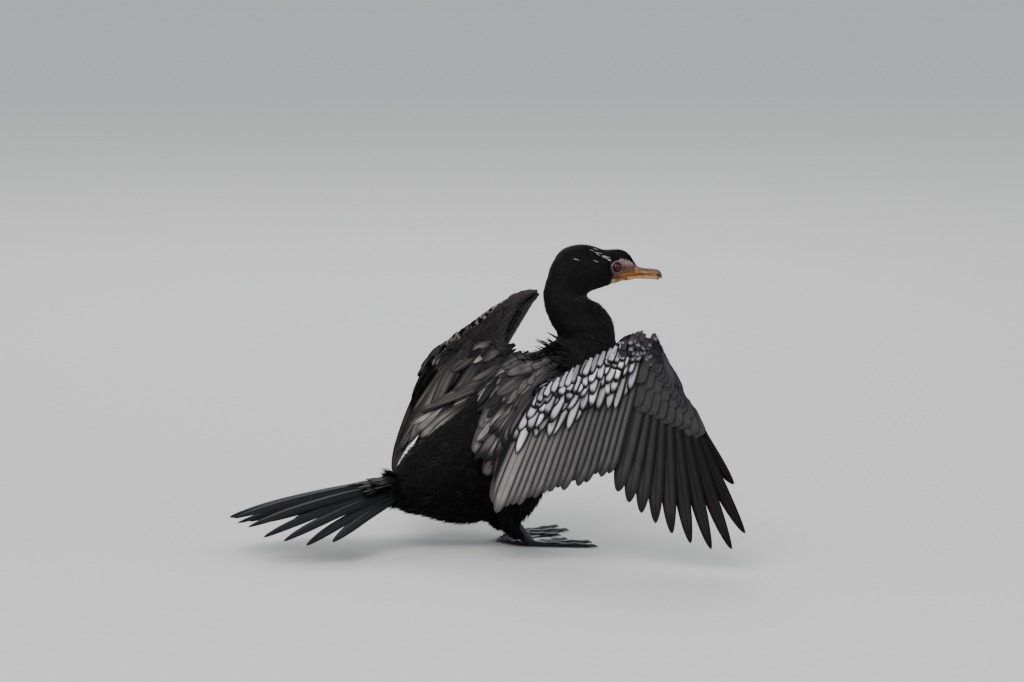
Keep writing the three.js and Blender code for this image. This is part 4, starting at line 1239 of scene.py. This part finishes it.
def bill():
    look, tree, shader = material("bill_horn", 0.32, 0.5, coat=0.15)
    noise = noise_at(tree, 420, 5)
    shaded(tree, shader, ramp(tree, noise, [(0.35, 0.45), (0.65, 1.2)]))
    bumped(tree, shader, noise, 0.25, 0.0003)
    steps, sides = 70, 40
    x, top, bottom, half = spline(BILL, steps).T
    turn = np.linspace(0, 2 * np.pi, sides, endpoint=False)
    for upper in (True, False):
        line = mouth_height(x)
        high = top if upper else line - 0.12
        low = line + 0.12 if upper else bottom
        high = np.maximum(high, low + 0.3)
        middle, tall = (high + low) / 2, (high - low) / 2
        c, s = np.cos(turn), np.sin(turn)
        square = 0.75
        wide = half * (1.0 if upper else 0.93)
        y = wide[:, None] * np.sign(c) * np.abs(c) ** square
        z = middle[:, None] + tall[:, None] * np.sign(s) * np.abs(s) ** (0.9 if upper else 0.8)
        if upper:
            hook = step(142, 147, x)[:, None]
            z = z - 2.6 * hook * (s[None] < 0) * np.abs(s[None]) ** 2
        else:
            past = x[:, None] > LOWER_BILL_END
            z = np.where(past, middle[:, None] + (z - middle[:, None]) * 0.05, z)
            y = np.where(past, y * 0.05, y)
        xs = np.repeat((x if upper else np.minimum(x, LOWER_BILL_END))[:, None], sides, 1)
        rings = np.stack([xs, y, z], -1)
        verts, quads, tris = tube(rings)
        if upper:
            for side in (1, -1):
                d = np.abs(verts[:, 2] - np.interp(verts[:, 0], [122, 127.5, 133], [241.4, 241.0, 240.4]))
                reach = step(121, 123, verts[:, 0]) * step(134, 131, verts[:, 0])
                slot = np.exp(-((d / 0.45) ** 2)) * reach * (verts[:, 1] * side > 1)
                verts[:, 1] -= side * 0.8 * slot
        px, py, pz = verts.T
        colour = np.tile(V(0.40, 0.15, 0.03), (len(verts), 1))
        if upper:
            line_top = np.interp(px, x, top)
            ridge = step(4.4, 1.2, line_top - pz) * step(112, 120, px)
            colour = mixed(colour, (0.05, 0.032, 0.027), ridge * 0.92)
            patch = np.exp(-((px - 124) / 3) ** 2) * np.exp(-((pz - 241.2) / 1.3) ** 2)
            colour = mixed(colour, (0.10, 0.04, 0.02), patch * 0.8)
            colour = mixed(colour, (0.22, 0.09, 0.03), step(243, 245, pz) * step(124, 118, px) * 0.7)
        else:
            colour = mixed(colour, (0.46, 0.22, 0.06), step(236, 233.5, pz) * 0.7)
        colour = mixed(colour, (0.06, 0.012, 0.016), step(140.5, 144, px) * 0.95)
        near = np.exp(-(((pz - mouth_height(px)) / 0.35) ** 2))
        colour = mixed(colour, (0.08, 0.03, 0.015), near * 0.7)
        name = "bill_upper_horn" if upper else "bill_lower_horn"
        piece = make(name, verts, [quads, tris], look, tint=colour)
        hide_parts("bill_upper" if upper else "bill_lower")


bill()


# Eyes


def eyes():
    look, tree, shader = material("iris", 0.1, 0.3)
    shaded(tree, shader, ramp(tree, noise_at(tree, 1600, 4), [(0.3, 0.6), (0.7, 1.3)]))
    for name, side in (("left", 1), ("right", -1)):
        way = eye_way(side)
        a = unit(np.cross(way, V(0, 0, 1)))
        b = np.cross(way, a)
        rings = []
        for polar in np.linspace(0.02, math.pi - 0.02, 40):
            turn = np.linspace(0, 2 * np.pi, 48, endpoint=False)
            around = a[None] * np.cos(turn)[:, None] + b[None] * np.sin(turn)[:, None]
            ring = way * math.cos(polar) + around * math.sin(polar)
            rings.append(eye_centre(side) + (EYE["radius"] + 0.12 * math.exp(-((polar / 0.6) ** 2))) * ring)
        verts, quads, tris = tube(np.array(rings))
        polar = np.arccos(np.clip(unit(verts - eye_centre(side)) @ way, -1, 1))
        colour = np.tile(V(0.045, 0.005, 0.006), (len(verts), 1))
        colour = mixed(colour, (0.002, 0.002, 0.002), step(0.42, 0.36, polar))
        colour = mixed(colour, (0.03, 0.006, 0.008), step(0.78, 0.92, polar))
        piece = make(f"eyeball_{name}", verts, [quads, tris], look, tint=colour)
        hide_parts(f"eye_{name}")


eyes()


# Legs and feet

TOES = [(26, 60, 2.9), (6, 56, 3.0), (-20, 42, 2.8), (-130, 27, 2.6)]  # angle, length, radius
TOE_JOINTS = [(0, 1.25), (0.12, 1.08), (0.3, 0.88), (0.38, 1.04), (0.5, 0.86), (0.62, 0.78), (0.7, 0.92),
              (0.82, 0.74), (0.93, 0.66)]  # share of the toe's length, share of its radius


def feet():
    look = skin_material("foot_skin", 0.42, 700, 0.45, specular=0.35)
    claw_look, tree, shader = material("claw", 0.35, 0.5, coat=0.2)
    shade = ramp(tree, noise_at(tree, 500, 3), [(0.3, (0.006, 0.006, 0.007)), (0.7, (0.03, 0.028, 0.028))])
    tree.links.new(shade, shader.inputs["Base Color"])
    for name, side in (("left", 1), ("right", -1)):
        y = side * 25.0
        parts, claws = [], []
        shank = [[-6.5, y, 30, 5, 6.2], [-6.2, y, 26, 5.2, 6.4], [2.5, y, 16, 4, 5.2], [11, y, 5.6, 4.6, 5.1],
                 [14, y, 3, 4.2, 4.2]]
        parts.append(limb(shank, 30, 24, V(1, 0, 0), -0.1))
        for angle, length, radius in TOES:
            turn = math.radians(angle)
            way = V(math.cos(turn), side * math.sin(turn), 0)
            root = V(11, y, 0)
            rows = []
            for share, size in TOE_JOINTS:
                at = root + way * length * share
                rows.append([at[0], at[1], radius * size * 0.78 + 0.25, radius * size, radius * size * 0.78])
            parts.append(limb(rows, 36, 20, V(0, 0, 1)))
            claw = []
            for reach, size, high in ((-1.5, 0.55, 1.7), (2, 0.56, 2.0), (5, 0.38, 1.7), (7.6, 0.10, 0.7)):
                at = root + way * (length * 0.93 + reach)
                claw.append([at[0], at[1], high, radius * size, radius * size])
            claws.append(limb(claw, 14, 12, V(0, 0, 1)))
        for a, b in zip(TOES, TOES[1:]):
            ends = []
            for angle, length, _ in (a, b):
                turn = math.radians(angle)
                ends.append(length * 0.93 * V(math.cos(turn), side * math.sin(turn)))
            middle = 0.4 * (ends[0] + ends[1])
            t = np.linspace(0, 1, 25)[:, None]
            curve = (1 - t) ** 2 * ends[0] + 2 * t * (1 - t) * middle + t**2 * ends[1]
            rows = []
            for r in np.linspace(0.02, 1, 16):
                flat = V(11, y) + r * curve
                ripple = 0.35 * np.sin(t[:, 0] * 18 + r * 5) * (0.3 + 0.7 * r)
                top = np.column_stack([flat, 1.35 + ripple * 0.7 + 0.9 * (1 - r)])
                low = np.column_stack([flat, 0.35 + np.clip(ripple, 0, 1) * 0.7])
                rows.append(np.vstack([top, low[::-1]]))
            parts.append(tube(np.array(rows)))
        verts, faces = joined(parts)
        piece = make(f"leg_{name}", verts, faces, look)
        remesh = piece.modifiers.new("remesh", "REMESH")
        remesh.mode = "VOXEL"
        remesh.voxel_size = 0.00055
        soften = piece.modifiers.new("soften", "SMOOTH")
        soften.iterations = 4
        apply_modifiers(piece)
        points, normals = read(piece)
        z = points[:, 2]
        reach = np.linalg.norm(points[:, :2] - V(11, y), axis=1)
        scutes = (np.sin(z * 2.1) * step(4, 8, z)
                  + np.sin(reach * 2.4) * step(5, 3, z) * step(1.7, 2.4, z))
        points += normals * (0.11 * scutes)[:, None]
        points[:, 2] = np.maximum(points[:, 2], 0.0)
        write(piece, points)
        tone = V(0.0085, 0.009, 0.011)
        patches = np.sin(points[:, :1] * 0.5) * np.sin(points[:, 1:2] * 0.4)
        colour = np.tile(tone, (len(points), 1)) * (1 + 0.25 * patches)
        webbed = step(3.0, 1.6, points[:, 2])
        colour = mixed(colour, tone * 1.5, webbed)
        lay_tint(piece.data, colour)
        smooth(piece.data)
        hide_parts(f"foot_{name}", f"shank_{name}")
        verts, faces = joined(claws)
        verts[:, 2] = np.maximum(verts[:, 2], 0.0)
        make(f"claws_{name}", verts, faces, claw_look)


def leg_coat():
    """Close black feathers round the lower legs, almost down to the feet."""
    for name, side in (("left", 1), ("right", -1)):
        t, turn = rng.random(700), rng.uniform(0, 2 * np.pi, 700)
        line = np.stack([np.interp(t, [0, 0.4, 1], [-5.2, -5.6, 4.5]), np.full(700, side * 25.0), lerp(31, 11, t)], 1)
        normal = np.stack([np.cos(turn), np.sin(turn), 0.25 + 0 * turn], 1)
        root = line + normal * np.interp(t, [0, 1], [5.4, 3.4])[:, None] * V(1.15, 0.95, 0)
        flow = np.tile(V(0.2, 0, -1), (700, 1)) + 0.12 * rng.normal(0, 1, (700, 3))
        colour = BLACK * (1.2 + 0.3 * rng.normal(0, 1, (700, 1)))
        length, width, lift = lerp(9.5, 6, t), lerp(4.0, 3, t), np.full(700, 0.16)
        tufts(f"coat_leg_{name}", root, unit(normal), flow, length, width, lift, colour)


feet()
leg_coat()
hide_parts("wing_right")
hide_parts("wing_left")

# Floor, light and camera


def stage():
    mat, tree, shader = material("floor", 0.9, 0.2)
    shader.inputs["Base Color"].default_value = (0.56, 0.555, 0.545, 1)
    mesh = bpy.data.meshes.new("floor")
    size = 30.0
    corners = [(-size, -size, 0), (size, -size, 0), (size, size, 0), (-size, size, 0)]
    mesh.from_pydata(corners, [], [(0, 1, 2, 3)])
    mesh.materials.append(mat)
    floor = bpy.data.objects.new("floor", mesh)
    bpy.context.scene.collection.objects.link(floor)
    world = bpy.data.worlds.new("studio")
    world.use_nodes = True
    world.node_tree.nodes["Background"].inputs[0].default_value = (0.93, 0.96, 1.0, 1)
    world.node_tree.nodes["Background"].inputs[1].default_value = 0.9
    bpy.context.scene.world = world
    aim = (V(0, 0, 140) + SHIFT) / 1000
    for name, at, size, power, colour in [
        ("key", V(-0.9, -1.3, 2.0), 1.4, 42, (1, 0.98, 0.95)),
        ("fill", V(1.6, -1.6, 0.9), 1.6, 14, (0.95, 0.97, 1)),
        ("rim", V(0.4, 1.8, 1.6), 1.2, 26, (1, 1, 1)),
    ]:
        data = bpy.data.lights.new(name, "AREA")
        data.energy, data.size, data.color = power, size, colour
        lamp = bpy.data.objects.new(name, data)
        z = unit(at)
        x = unit(np.cross(V(0, 0, 1), z))
        lamp.matrix_world = matrix(x, np.cross(z, x), z, aim + at)
        bpy.context.scene.collection.objects.link(lamp)


def matrix(x, y, z, at):
    rows = [[x[i], y[i], z[i], at[i]] for i in range(3)] + [[0, 0, 0, 1]]
    return Matrix(rows)


def camera():
    back = unit(CAMERA_BACK)
    right = unit(CAMERA_RIGHT - (CAMERA_RIGHT @ back) * back)
    up = np.cross(back, right)
    distance = CAMERA_FAR / 1000
    aim = (CAMERA_AIM + SHIFT) / 1000
    data = bpy.data.cameras.new("camera")
    data.sensor_width = 36
    data.lens = 36 * distance / 0.9216
    data.clip_end = 100
    item = bpy.data.objects.new("camera", data)
    item.matrix_world = matrix(right, up, back, aim + back * distance)
    bpy.context.scene.collection.objects.link(item)
    bpy.context.scene.camera = item


stage()
camera()
